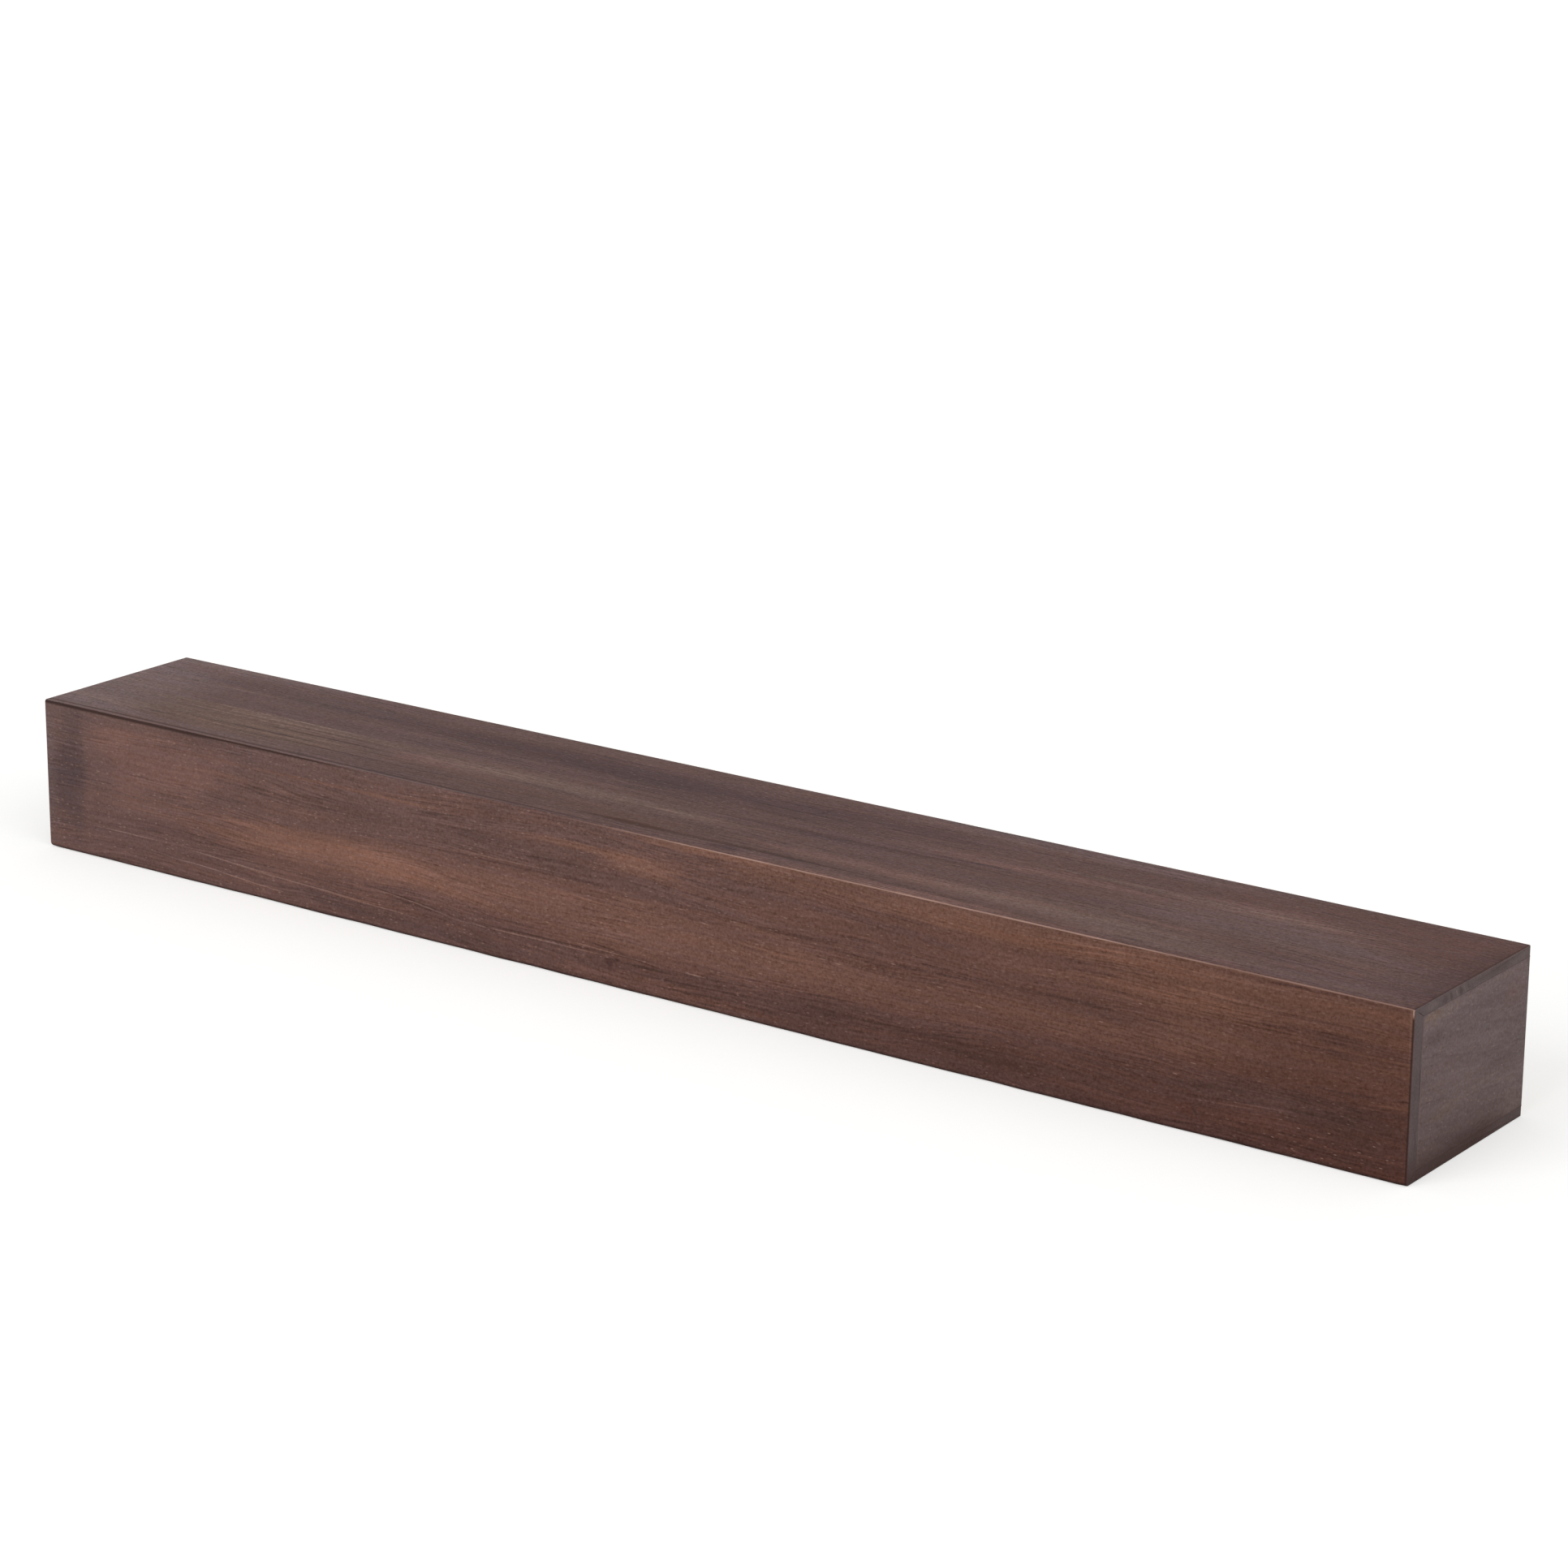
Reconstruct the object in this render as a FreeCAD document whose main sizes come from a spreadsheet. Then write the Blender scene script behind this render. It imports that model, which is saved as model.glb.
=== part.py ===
import FreeCAD, Part
import math
import os
import Sketcher
from FreeCAD import Placement, Rotation, Vector

# Floating wall shelf: a hollow box beam of stained boards, mitred along its front corners and open at
# the back, that hangs on a bevelled wall cleat. Ribs, posts, glue blocks, dowels and screws are inside.
#
# Frame, in millimetres: +X along the shelf, +Y into the wall, +Z up. The wall is the plane y = 0, and
# the shelf reaches forward to y = -shelf_depth. The origin is on the wall, in the middle of the line of
# wall screws.

SIZES = (
    # the box beam
    ("shelf_length", "1524", "end to end"),
    ("shelf_depth", "203.2", "wall to front face"),
    ("shelf_height", "152.4", "underside to top surface"),
    ("skin_thickness", "10", "top board and bottom board"),
    ("front_thickness", "16", "front board"),
    ("end_thickness", "16", "end panels"),
    ("top_arris_radius", "2", "rounding of the long upper front corner"),
    ("bottom_arris_radius", "3.5", "rounding of the long lower front corner"),
    ("end_arris_radius", "1", "rounding round both ends"),
    # the hanging pair and the lower rail
    ("cleat_thickness", "18", "both cleats and the lower rail, wall to inner face"),
    ("bevel_angle", "45", "slope of the bevel that the shelf hangs by, from level"),
    ("cleat_blunt", "2", "depth taken off each bevel's sharp edge"),
    ("hanging_cleat_height", "38", "hanging cleat at its back face"),
    ("wall_cleat_height", "48", "wall cleat at its front face"),
    ("wall_cleat_end_gap", "21", "wall cleat's end to corner block"),
    ("lower_rail_height", "24", "lower back rail"),
    # the wall screws' holes
    ("screw_line_height", "18", "wall screws above the wall cleat's lower edge"),
    ("stud_spacing", "406.4", "wall screw to wall screw"),
    ("wall_screw_end_distance", "30", "least distance from a wall screw to the cleat's end"),
    ("wall_hole_diameter", "8", "hole for a wall screw's shank"),
    ("counterbore_diameter", "20", "recess for a wall screw's head"),
    ("counterbore_depth", "6", "recess for a wall screw's head"),
    # ribs, posts and glue blocks
    ("rib_thickness", "16", "ribs"),
    ("rib_relief", "3", "ribs set back from the wall cleat"),
    ("corner_block_side", "25", "square posts in the back corners"),
    ("glue_block_leg", "20", "short sides of a glue block"),
    ("glue_block_length", "60", "glue blocks"),
    # dowels
    ("dowel_diameter", "8", "dowels"),
    ("dowel_length", "30", "dowels"),
    ("dowel_depth_in_front", "10", "length of a dowel inside the front board"),
    ("dowel_chamfer", "1", "dowel ends"),
    ("dowel_edge_distance", "25", "dowels from the top and bottom boards"),
    # wood screws
    ("screw_diameter", "4", "shank"),
    ("screw_head_diameter", "8", "countersunk head"),
    ("screw_head_angle", "90", "countersunk head"),
    ("screw_head_sink", "0.3", "head below the surface"),
    ("screw_point_length", "5", "tapered point"),
    ("screw_bite_in_rib", "22", "cleat screws' length inside a rib or post"),
    ("screw_bite_in_end", "10", "post screws' length inside an end panel"),
    ("recess_width", "1", "arms of the cross recess in a screw head"),
    ("recess_span", "4.4", "across the cross recess in a screw head"),
    ("recess_depth", "1.5", "cross recess in a screw head"),
    # clearances
    ("hole_clearance", "0.1", "round a screw or dowel, on the radius"),
    ("hole_end_clearance", "0.5", "beyond the end of a screw or dowel"),
)

# Lengths along X, from the middle of the shelf.
HALF_LENGTH = "(Sizes.shelf_length / 2)"
INNER_HALF = f"({HALF_LENGTH} - Sizes.end_thickness)"
WALL_CLEAT_HALF = f"({INNER_HALF} - Sizes.corner_block_side - Sizes.wall_cleat_end_gap)"
BLOCK_CENTRE = f"({INNER_HALF} - Sizes.corner_block_side / 2)"

# Depths, measured forward from the wall.
INNER_DEPTH = "(Sizes.shelf_depth - Sizes.front_thickness)"
BLOCK_FRONT = "(Sizes.cleat_thickness + Sizes.corner_block_side)"

# Heights. The wall screws set the wall cleat, its bevel sets the hanging cleat, and that sets the box.
SLOPE = "tan(Sizes.bevel_angle)"
BEVEL_RISE = f"((Sizes.cleat_thickness - Sizes.cleat_blunt) * {SLOPE})"
CLEAT_FOOT = "-Sizes.screw_line_height"
HOOK_TIP = f"({CLEAT_FOOT} + Sizes.wall_cleat_height - {BEVEL_RISE} + Sizes.cleat_blunt * {SLOPE})"
CEILING = f"({HOOK_TIP} + Sizes.hanging_cleat_height)"
BOTTOM = f"({CEILING} + Sizes.skin_thickness - Sizes.shelf_height)"
FLOOR = f"({BOTTOM} + Sizes.skin_thickness)"
INNER_HEIGHT = "(Sizes.shelf_height - 2 * Sizes.skin_thickness)"

# Screws and dowels.
CLEAT_SCREW_LENGTH = "(Sizes.cleat_thickness + Sizes.screw_bite_in_rib - Sizes.screw_head_sink)"
BLOCK_SCREW_LENGTH = "(Sizes.corner_block_side + Sizes.screw_bite_in_end - Sizes.screw_head_sink)"
SCREW_HOLE = "(Sizes.screw_diameter + 2 * Sizes.hole_clearance)"
DOWEL_HOLE = "(Sizes.dowel_diameter + 2 * Sizes.hole_clearance)"
CLEAT_SCREW_HEIGHT = f"(({BEVEL_RISE} + Sizes.hanging_cleat_height) / 2)"
RAIL_SCREW_HEIGHT = "(Sizes.lower_rail_height / 2)"
BLOCK_SCREW_HEIGHTS = (f"({INNER_HEIGHT} / 3)", f"({INNER_HEIGHT} * 2 / 3)")
DOWEL_HEIGHTS = ("Sizes.dowel_edge_distance", f"({INNER_HEIGHT} - Sizes.dowel_edge_distance)")

# Ribs divide the inside into equal bays. Each has its number of bays from the middle.
RIBS = {"rib_left": -1, "rib_centre": 0, "rib_right": 1}
BAYS = len(RIBS) + 1
BAY_LENGTH = f"(2 * {INNER_HALF} / {BAYS})"
RIB_PLACES = [f"({steps} * {BAY_LENGTH})" for steps in RIBS.values()]
BAY_CENTRES = [f"(({bay} + 0.5) * {BAY_LENGTH} - {INNER_HALF})" for bay in range(BAYS)]
CLEAT_SCREW_PLACES = [f"(-{BLOCK_CENTRE})", *RIB_PLACES, BLOCK_CENTRE]

ABOUT_X = Vector(1, 0, 0)
ABOUT_Y = Vector(0, 1, 0)
ABOUT_Z = Vector(0, 0, 1)
SIDES = {"left": -1, "right": 1}
SAME_PLACE = 1e-4


doc = FreeCAD.newDocument("FloatingWallShelf")


def make_sheet():
    """The spreadsheet of driving dimensions: name, value, meaning."""
    sheet = doc.addObject("Spreadsheet::Sheet", "Sizes")
    for row, (alias, number, meaning) in enumerate(SIZES, start=1):
        sheet.set(f"A{row}", alias)
        sheet.set(f"B{row}", number)
        sheet.setAlias(f"B{row}", alias)
        sheet.set(f"C{row}", meaning)
    doc.recompute()
    return sheet


sizes = make_sheet()


# ---------------------------------------------------------------- helpers


def value(expression):
    """What an expression comes to with the sheet's present sizes."""
    return float(sizes.evalExpression(expression))


def place(piece, x="0", y="0", z="0", turn=None):
    """Binds a piece's position to expressions, after turning it."""
    piece.Placement = Placement(Vector(), turn or Rotation())
    for axis, expression in (("x", x), ("y", y), ("z", z)):
        piece.setExpression(f"Placement.Base.{axis}", expression)


def new_body(label):
    body = doc.addObject("PartDesign::Body", label)
    body.Label = label
    return body


def new_sketch(body, name, plane, offset):
    """An empty sketch on one of the body's origin planes, moved along the plane's normal."""
    sketch = body.newObject("Sketcher::SketchObject", f"{body.Name}_{name}")
    support = next(item for item in body.Origin.OriginFeatures if item.Role == plane)
    sketch.AttachmentSupport = [(support, "")]
    sketch.MapMode = "FlatFace"
    sketch.setExpression("AttachmentOffset.Base.z", offset)
    return sketch


def pin(sketch, geometry, point, x, y):
    """Fixes a point of the sketch at two expressions."""
    for kind, expression in (("DistanceX", x), ("DistanceY", y)):
        distance = Sketcher.Constraint(kind, -1, 1, geometry, point, value(expression))
        number = sketch.addConstraint(distance)
        sketch.setExpression(f"Constraints[{number}]", expression)


def outline(body, name, plane, corners, offset="0"):
    """A sketch with one closed outline of straight sides."""
    sketch = new_sketch(body, name, plane, offset)
    points = [Vector(value(x), value(y)) for x, y in corners]
    count = len(points)
    for side, start in enumerate(points):
        sketch.addGeometry(Part.LineSegment(start, points[(side + 1) % count]))
    for side in range(count):
        joint = Sketcher.Constraint("Coincident", side, 2, (side + 1) % count, 1)
        sketch.addConstraint(joint)
    for side, (x, y) in enumerate(corners):
        pin(sketch, side, 1, x, y)
    return sketch


def rectangle(low_x, low_y, high_x, high_y):
    return [(low_x, low_y), (high_x, low_y), (high_x, high_y), (low_x, high_y)]


def circles(body, name, plane, centres, diameter, offset="0"):
    """A sketch of equal circles."""
    sketch = new_sketch(body, name, plane, offset)
    radius = value(diameter) / 2
    for number, (x, y) in enumerate(centres):
        sketch.addGeometry(Part.Circle(Vector(value(x), value(y)), ABOUT_Z, radius))
        pin(sketch, number, 3, x, y)
        if number == 0:
            size = sketch.addConstraint(Sketcher.Constraint("Diameter", 0, 2 * radius))
            sketch.setExpression(f"Constraints[{size}]", diameter)
        else:
            sketch.addConstraint(Sketcher.Constraint("Equal", 0, number))
    return sketch


def pad(body, sketch, length, symmetric=False):
    feature = body.newObject("PartDesign::Pad", f"{body.Name}_pad")
    feature.Profile = sketch
    feature.SideType = "Symmetric" if symmetric else "One side"
    feature.setExpression("Length", length)
    sketch.Visibility = False
    doc.recompute()
    return feature


def check_cut(body, before, feature):
    """A cut that takes nothing away points the wrong way."""
    doc.recompute()
    if not body.Shape.Volume < before:
        raise RuntimeError(f"{feature.Name} cuts nothing")


def pocket(body, sketch, depth=None, reverse=False):
    """Cuts a sketch away: right through along both ways with no depth, or to a depth one way."""
    before = body.Shape.Volume
    feature = body.newObject("PartDesign::Pocket", sketch.Name + "_pocket")
    feature.Profile = sketch
    if depth is None:
        feature.SideType = "Symmetric"
        feature.Type = "ThroughAll"
    else:
        feature.Reversed = reverse
        feature.setExpression("Length", depth)
    check_cut(body, before, feature)
    return feature


def through_hole(body, sketch, diameter, head, head_diameter, reverse=False):
    """Holes at a sketch's circles, with a counterbore or a countersink at the sketch's plane."""
    before = body.Shape.Volume
    feature = body.newObject("PartDesign::Hole", sketch.Name + "_hole")
    feature.Profile = sketch
    doc.recompute()
    feature.ThreadType = "None"
    feature.DepthType = "ThroughAll"
    feature.DrillPoint = "Flat"
    feature.HoleCutType = head
    feature.HoleCutCustomValues = True
    feature.Reversed = reverse
    feature.setExpression("Diameter", diameter)
    feature.setExpression("HoleCutDiameter", head_diameter)
    if head == "Countersink":
        feature.setExpression("HoleCutCountersinkAngle", "Sizes.screw_head_angle")
    else:
        feature.setExpression("HoleCutDepth", "Sizes.counterbore_depth")
    check_cut(body, before, feature)
    return feature


def countersunk(body, name, plane, centres, offset="0", reverse=False):
    """Through holes for wood screws, whose heads lie a little under the surface."""
    sketch = circles(body, name, plane, centres, SCREW_HOLE, offset)
    head = "Sizes.screw_head_diameter + 2 * Sizes.hole_clearance"
    sink = "2 * Sizes.screw_head_sink * tan(Sizes.screw_head_angle / 2)"
    return through_hole(body, sketch, SCREW_HOLE, "Countersink", f"{head} + {sink}", reverse)


def pilot_holes(body, name, plane, centres, bite, offset="0", reverse=False):
    sketch = circles(body, name, plane, centres, SCREW_HOLE, offset)
    return pocket(body, sketch, f"{bite} + Sizes.hole_end_clearance", reverse)


def dowel_holes(body, name, centres, depth, offset, reverse=False):
    sketch = circles(body, name, "XZ_Plane", centres, DOWEL_HOLE, offset)
    return pocket(body, sketch, f"{depth} + Sizes.hole_end_clearance", reverse)


def round_edges(body, feature, radius, chosen):
    """Rounds the edges whose middle points pass the test."""
    names = []
    for number, edge in enumerate(feature.Shape.Edges, start=1):
        first, last = edge.ParameterRange
        if chosen(edge.valueAt((first + last) / 2)):
            names.append(f"Edge{number}")
    fillet = body.newObject("PartDesign::Fillet", feature.Name + "_round")
    fillet.Base = (feature, names)
    fillet.setExpression("Radius", radius)
    doc.recompute()
    return fillet


def same(one, other):
    return abs(one - other) < SAME_PLACE


def ease_long_corner(body, feature, y, z, radius):
    """Rounds the one edge that runs along X at a depth and a height."""
    return round_edges(body, feature, radius, lambda at: same(at.y, value(y)) and same(at.z, value(z)))


def ease_ends(body, feature, is_inner):
    """Rounds the outer edges of both end faces, leaving out those where another board joins."""
    end = value(HALF_LENGTH)
    radius = "Sizes.end_arris_radius"
    return round_edges(body, feature, radius, lambda at: same(abs(at.x), end) and not is_inner(at))


# ---------------------------------------------------------------- the box beam's boards


def make_top_board():
    """Lies on the hanging cleat, ribs and end panels. Mitred where it meets the front board."""
    body = new_body("top_board")
    front = "-Sizes.shelf_depth"
    thick = "Sizes.skin_thickness"
    section = outline(body, "section", "YZ_Plane", rectangle(front, "0", "0", thick))
    board = pad(body, section, "Sizes.shelf_length", symmetric=True)
    eased = ease_long_corner(body, board, front, thick, "Sizes.top_arris_radius")
    ease_ends(body, eased, lambda at: same(at.z, 0) or same(at.y, 0))
    wedge = [(front, "0"), (f"-{INNER_DEPTH}", "0"), (front, thick)]
    pocket(body, outline(body, "mitre", "YZ_Plane", wedge))
    place(body, z=CEILING)
    return body


def make_bottom_board():
    """The top board's counterpart, under the ribs and the end panels."""
    body = new_body("bottom_board")
    front = "-Sizes.shelf_depth"
    thick = "Sizes.skin_thickness"
    section = outline(body, "section", "YZ_Plane", rectangle(front, "0", "0", thick))
    board = pad(body, section, "Sizes.shelf_length", symmetric=True)
    eased = ease_long_corner(body, board, front, "0", "Sizes.bottom_arris_radius")
    ease_ends(body, eased, lambda at: same(at.z, value(thick)) or same(at.y, 0))
    wedge = [(front, thick), (front, "0"), (f"-{INNER_DEPTH}", thick)]
    pocket(body, outline(body, "mitre", "YZ_Plane", wedge))
    place(body, z=BOTTOM)
    return body


def make_front_board():
    """Full height, mitred into the top and bottom boards, with blind dowel holes in its back."""
    body = new_body("front_board")
    thick = "Sizes.front_thickness"
    tall = "Sizes.shelf_height"
    section = outline(body, "section", "YZ_Plane", rectangle("0", "0", thick, tall))
    board = pad(body, section, "Sizes.shelf_length", symmetric=True)
    upper = ease_long_corner(body, board, "0", tall, "Sizes.top_arris_radius")
    lower = ease_long_corner(body, upper, "0", "0", "Sizes.bottom_arris_radius")
    ease_ends(body, lower, lambda at: same(at.y, value(thick)))
    upper_wedge = [("0", tall), (thick, tall), (thick, f"{tall} - Sizes.skin_thickness")]
    pocket(body, outline(body, "upper_mitre", "YZ_Plane", upper_wedge))
    lower_wedge = [("0", "0"), (thick, "0"), (thick, "Sizes.skin_thickness")]
    pocket(body, outline(body, "lower_mitre", "YZ_Plane", lower_wedge))
    across = [f"({side} * ({HALF_LENGTH} - Sizes.end_thickness / 2))" for side in SIDES.values()]
    heights = [f"(Sizes.skin_thickness + {height})" for height in DOWEL_HEIGHTS]
    centres = [(x, z) for x in across + RIB_PLACES for z in heights]
    dowel_holes(body, "dowel_holes", centres, "Sizes.dowel_depth_in_front", f"-{thick}", reverse=True)
    place(body, y="-Sizes.shelf_depth", z=BOTTOM)
    return body


def make_end_panel(side):
    """Let in between the boards, flush with their ends."""
    body = new_body(f"end_panel_{side}")
    thick = "Sizes.end_thickness"
    face = rectangle(f"-{INNER_DEPTH}", "0", "0", INNER_HEIGHT)
    pad(body, outline(body, "face", "YZ_Plane", face), thick)
    centres = [(f"{thick} / 2", height) for height in DOWEL_HEIGHTS]
    depth = "Sizes.dowel_length - Sizes.dowel_depth_in_front"
    dowel_holes(body, "dowel_holes", centres, depth, INNER_DEPTH)
    post_middle = "-(Sizes.cleat_thickness + Sizes.corner_block_side / 2)"
    screws = [(post_middle, height) for height in BLOCK_SCREW_HEIGHTS]
    inner_face = thick if side == "left" else "0"
    bite = "Sizes.screw_bite_in_end"
    pilot_holes(body, "screw_holes", "YZ_Plane", screws, bite, inner_face, reverse=side == "right")
    place(body, x=INNER_HALF if side == "right" else f"-{HALF_LENGTH}", z=FLOOR)
    return body


# ---------------------------------------------------------------- what the shelf hangs by


def make_hanging_cleat():
    """Bevelled along its lower edge, tip at the wall. Screwed to the ribs and posts from behind."""
    body = new_body("hanging_cleat")
    front = "-Sizes.cleat_thickness"
    tall = "Sizes.hanging_cleat_height"
    section = [("0", "0"), ("0", tall), (front, tall), (front, BEVEL_RISE), ("-Sizes.cleat_blunt", "0")]
    pad(body, outline(body, "section", "YZ_Plane", section), f"2 * {INNER_HALF}", symmetric=True)
    centres = [(x, CLEAT_SCREW_HEIGHT) for x in CLEAT_SCREW_PLACES]
    countersunk(body, "screw_holes", "XZ_Plane", centres, reverse=True)
    place(body, z=HOOK_TIP)
    return body


def wall_screw_places():
    """As many pairs of wall screws as the wall cleat has room for, one stud spacing apart."""
    reach = value(f"({WALL_CLEAT_HALF} - Sizes.wall_screw_end_distance) / Sizes.stud_spacing")
    pairs = math.floor(reach + 0.5)
    return [f"({side} * ({pair} + 0.5) * Sizes.stud_spacing)" for pair in range(pairs) for side in (-1, 1)]


def make_wall_cleat():
    """Bevelled along its upper edge, tip away from the wall. Screwed to the wall's studs."""
    body = new_body("wall_cleat")
    front = "-Sizes.cleat_thickness"
    tall = "Sizes.wall_cleat_height"
    section = [
        ("0", "0"),
        (front, "0"),
        (front, tall),
        ("-(Sizes.cleat_thickness - Sizes.cleat_blunt)", tall),
        ("0", f"{tall} - {BEVEL_RISE}"),
    ]
    pad(body, outline(body, "section", "YZ_Plane", section), f"2 * {WALL_CLEAT_HALF}", symmetric=True)
    centres = [(x, "Sizes.screw_line_height") for x in wall_screw_places()]
    hole = "Sizes.wall_hole_diameter"
    sketch = circles(body, "wall_screw_holes", "XZ_Plane", centres, hole, "Sizes.cleat_thickness")
    through_hole(body, sketch, hole, "Counterbore", "Sizes.counterbore_diameter")
    place(body, z=CLEAT_FOOT)
    return body


def make_lower_back_rail():
    """Rests against the wall below the wall cleat, and keeps the shelf plumb."""
    body = new_body("lower_back_rail")
    section = rectangle("-Sizes.cleat_thickness", "0", "0", "Sizes.lower_rail_height")
    pad(body, outline(body, "section", "YZ_Plane", section), f"2 * {INNER_HALF}", symmetric=True)
    centres = [(x, RAIL_SCREW_HEIGHT) for x in CLEAT_SCREW_PLACES]
    countersunk(body, "screw_holes", "XZ_Plane", centres, reverse=True)
    place(body, z=FLOOR)
    return body


# ---------------------------------------------------------------- ribs, posts and glue blocks


def screw_heights_above_floor():
    """The cleat's and the rail's screws, measured from the bottom board's inner face."""
    return [f"({HOOK_TIP} + {CLEAT_SCREW_HEIGHT} - {FLOOR})", RAIL_SCREW_HEIGHT]


def make_rib(label, place_x):
    """Stands between the boards, its back edge cut back where it passes the wall cleat."""
    body = new_body(label)
    front = f"-{INNER_DEPTH}"
    back = "-Sizes.cleat_thickness"
    relieved = f"({back} - Sizes.rib_relief)"
    rail_top = "Sizes.lower_rail_height"
    hook_front = f"({HOOK_TIP} + {BEVEL_RISE} - {FLOOR})"
    face = [
        (front, "0"),
        (back, "0"),
        (back, rail_top),
        (relieved, rail_top),
        (relieved, hook_front),
        (back, hook_front),
        (back, INNER_HEIGHT),
        (front, INNER_HEIGHT),
    ]
    pad(body, outline(body, "face", "YZ_Plane", face), "Sizes.rib_thickness", symmetric=True)
    screws = [("0", height) for height in screw_heights_above_floor()]
    bite = "Sizes.screw_bite_in_rib"
    pilot_holes(body, "screw_holes", "XZ_Plane", screws, bite, "Sizes.cleat_thickness", reverse=True)
    dowels = [("0", height) for height in DOWEL_HEIGHTS]
    dowel_holes(body, "dowel_holes", dowels, "Sizes.dowel_length - Sizes.dowel_depth_in_front", INNER_DEPTH)
    place(body, x=place_x, z=FLOOR)
    return body


def make_corner_block(side):
    """A square post in a back corner, screwed to the end panel. The cleats are screwed to it."""
    body = new_body(f"corner_block_{side}")
    thick = "Sizes.corner_block_side"
    section = rectangle("0", f"-{thick}", thick, "0")
    pad(body, outline(body, "section", "XY_Plane", section), INNER_HEIGHT)
    screws = [(f"-{thick} / 2", height) for height in BLOCK_SCREW_HEIGHTS]
    inner_face = "0" if side == "right" else thick
    countersunk(body, "screw_holes", "YZ_Plane", screws, inner_face, reverse=side == "right")
    pilots = [(f"{thick} / 2", height) for height in screw_heights_above_floor()]
    pilot_holes(body, "pilot_holes", "XZ_Plane", pilots, "Sizes.screw_bite_in_rib", reverse=True)
    start = f"({INNER_HALF} - {thick})" if side == "right" else f"-{INNER_HALF}"
    place(body, x=start, y="-Sizes.cleat_thickness", z=FLOOR)
    return body


# ---------------------------------------------------------------- pieces that are used many times


def copies(label, pattern, places):
    """One sub-part of separate solids, each a copy of the pattern: (x, y, z, turn)."""
    links = []
    for number, (x, y, z, turn) in enumerate(places, start=1):
        link = doc.addObject("App::Link", f"{label}_{number}")
        link.LinkedObject = pattern
        place(link, x, y, z, turn)
        links.append(link)
    group = doc.addObject("Part::Compound", label)
    group.Label = label
    group.Links = links
    return group


def turned_body(label, corners):
    """A body turned round its own Z axis from half of its section."""
    body = new_body(label)
    sketch = outline(body, "half_section", "XZ_Plane", corners)
    turning = body.newObject("PartDesign::Revolution", f"{label}_turning")
    turning.Profile = sketch
    turning.ReferenceAxis = (sketch, ["V_Axis"])
    turning.Angle = 360
    doc.recompute()
    return body


def make_screw(label, length):
    """A countersunk wood screw along -Z, its head's face at z = 0, with a cross recess."""
    head = "(Sizes.screw_head_diameter / 2)"
    shank = "(Sizes.screw_diameter / 2)"
    cone = f"(({head} - {shank}) / tan(Sizes.screw_head_angle / 2))"
    corners = [
        ("0", "0"),
        (head, "0"),
        (shank, f"-{cone}"),
        (shank, f"-({length} - Sizes.screw_point_length)"),
        ("0", f"-{length}"),
    ]
    body = turned_body(label, corners)
    long = "(Sizes.recess_span / 2)"
    wide = "(Sizes.recess_width / 2)"
    cross = []
    for across, up in ((1, 1), (-1, 1), (-1, -1), (1, -1)):
        quarter = [(long, wide), (wide, wide), (wide, long)][:: across * up]
        cross += [(f"{across} * {x}", f"{up} * {y}") for x, y in quarter]
    pocket(body, outline(body, "recess", "XY_Plane", cross), "Sizes.recess_depth")
    return body


def make_dowel():
    """A dowel along -Z, one end at z = 0, with chamfered ends."""
    radius = "(Sizes.dowel_diameter / 2)"
    cut = "Sizes.dowel_chamfer"
    length = "Sizes.dowel_length"
    corners = [
        ("0", "0"),
        (f"{radius} - {cut}", "0"),
        (radius, f"-{cut}"),
        (radius, f"-({length} - {cut})"),
        (f"{radius} - {cut}", f"-{length}"),
        ("0", f"-{length}"),
    ]
    return turned_body("dowel", corners)


def make_glue_block():
    """A three-sided block along X, its square corner at y = z = 0, below and behind that corner."""
    body = new_body("glue_block")
    corners = [("0", "0"), ("Sizes.glue_block_leg", "0"), ("0", "-Sizes.glue_block_leg")]
    pad(body, outline(body, "section", "YZ_Plane", corners), "Sizes.glue_block_length", symmetric=True)
    return body


def make_glue_blocks(block):
    """One behind each long mitre in each bay, and one above and below beside each end panel."""
    front = f"-{INNER_DEPTH}"
    tip_up = Rotation(ABOUT_X, 90)
    top = [(x, front, CEILING, Rotation()) for x in BAY_CENTRES]
    bottom = [(x, front, FLOOR, tip_up) for x in BAY_CENTRES]
    groups = [copies("glue_blocks_top_front", block, top)]
    groups.append(copies("glue_blocks_bottom_front", block, bottom))
    middle = f"-({INNER_DEPTH} + {BLOCK_FRONT}) / 2"
    for side, sign in SIDES.items():
        aside = Rotation(ABOUT_Z, 90 * sign)
        x = f"{sign} * {INNER_HALF}"
        places = [(x, middle, CEILING, aside), (x, middle, FLOOR, aside * tip_up)]
        groups.append(copies(f"glue_blocks_{side}_end", block, places))
    return groups


def make_dowels(dowel):
    """Across the joints between the front board and the end panels and ribs."""
    start = f"-({INNER_DEPTH} + Sizes.dowel_depth_in_front)"
    heights = [f"({FLOOR} + {height})" for height in DOWEL_HEIGHTS]
    backward = Rotation(ABOUT_X, 90)
    in_ribs = [(x, start, z, backward) for x in RIB_PLACES for z in heights]
    groups = [copies("rib_dowels", dowel, in_ribs)]
    for side, sign in SIDES.items():
        x = f"{sign} * ({HALF_LENGTH} - Sizes.end_thickness / 2)"
        in_end = [(x, start, z, backward) for z in heights]
        groups.append(copies(f"end_dowels_{side}", dowel, in_end))
    return groups


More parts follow.
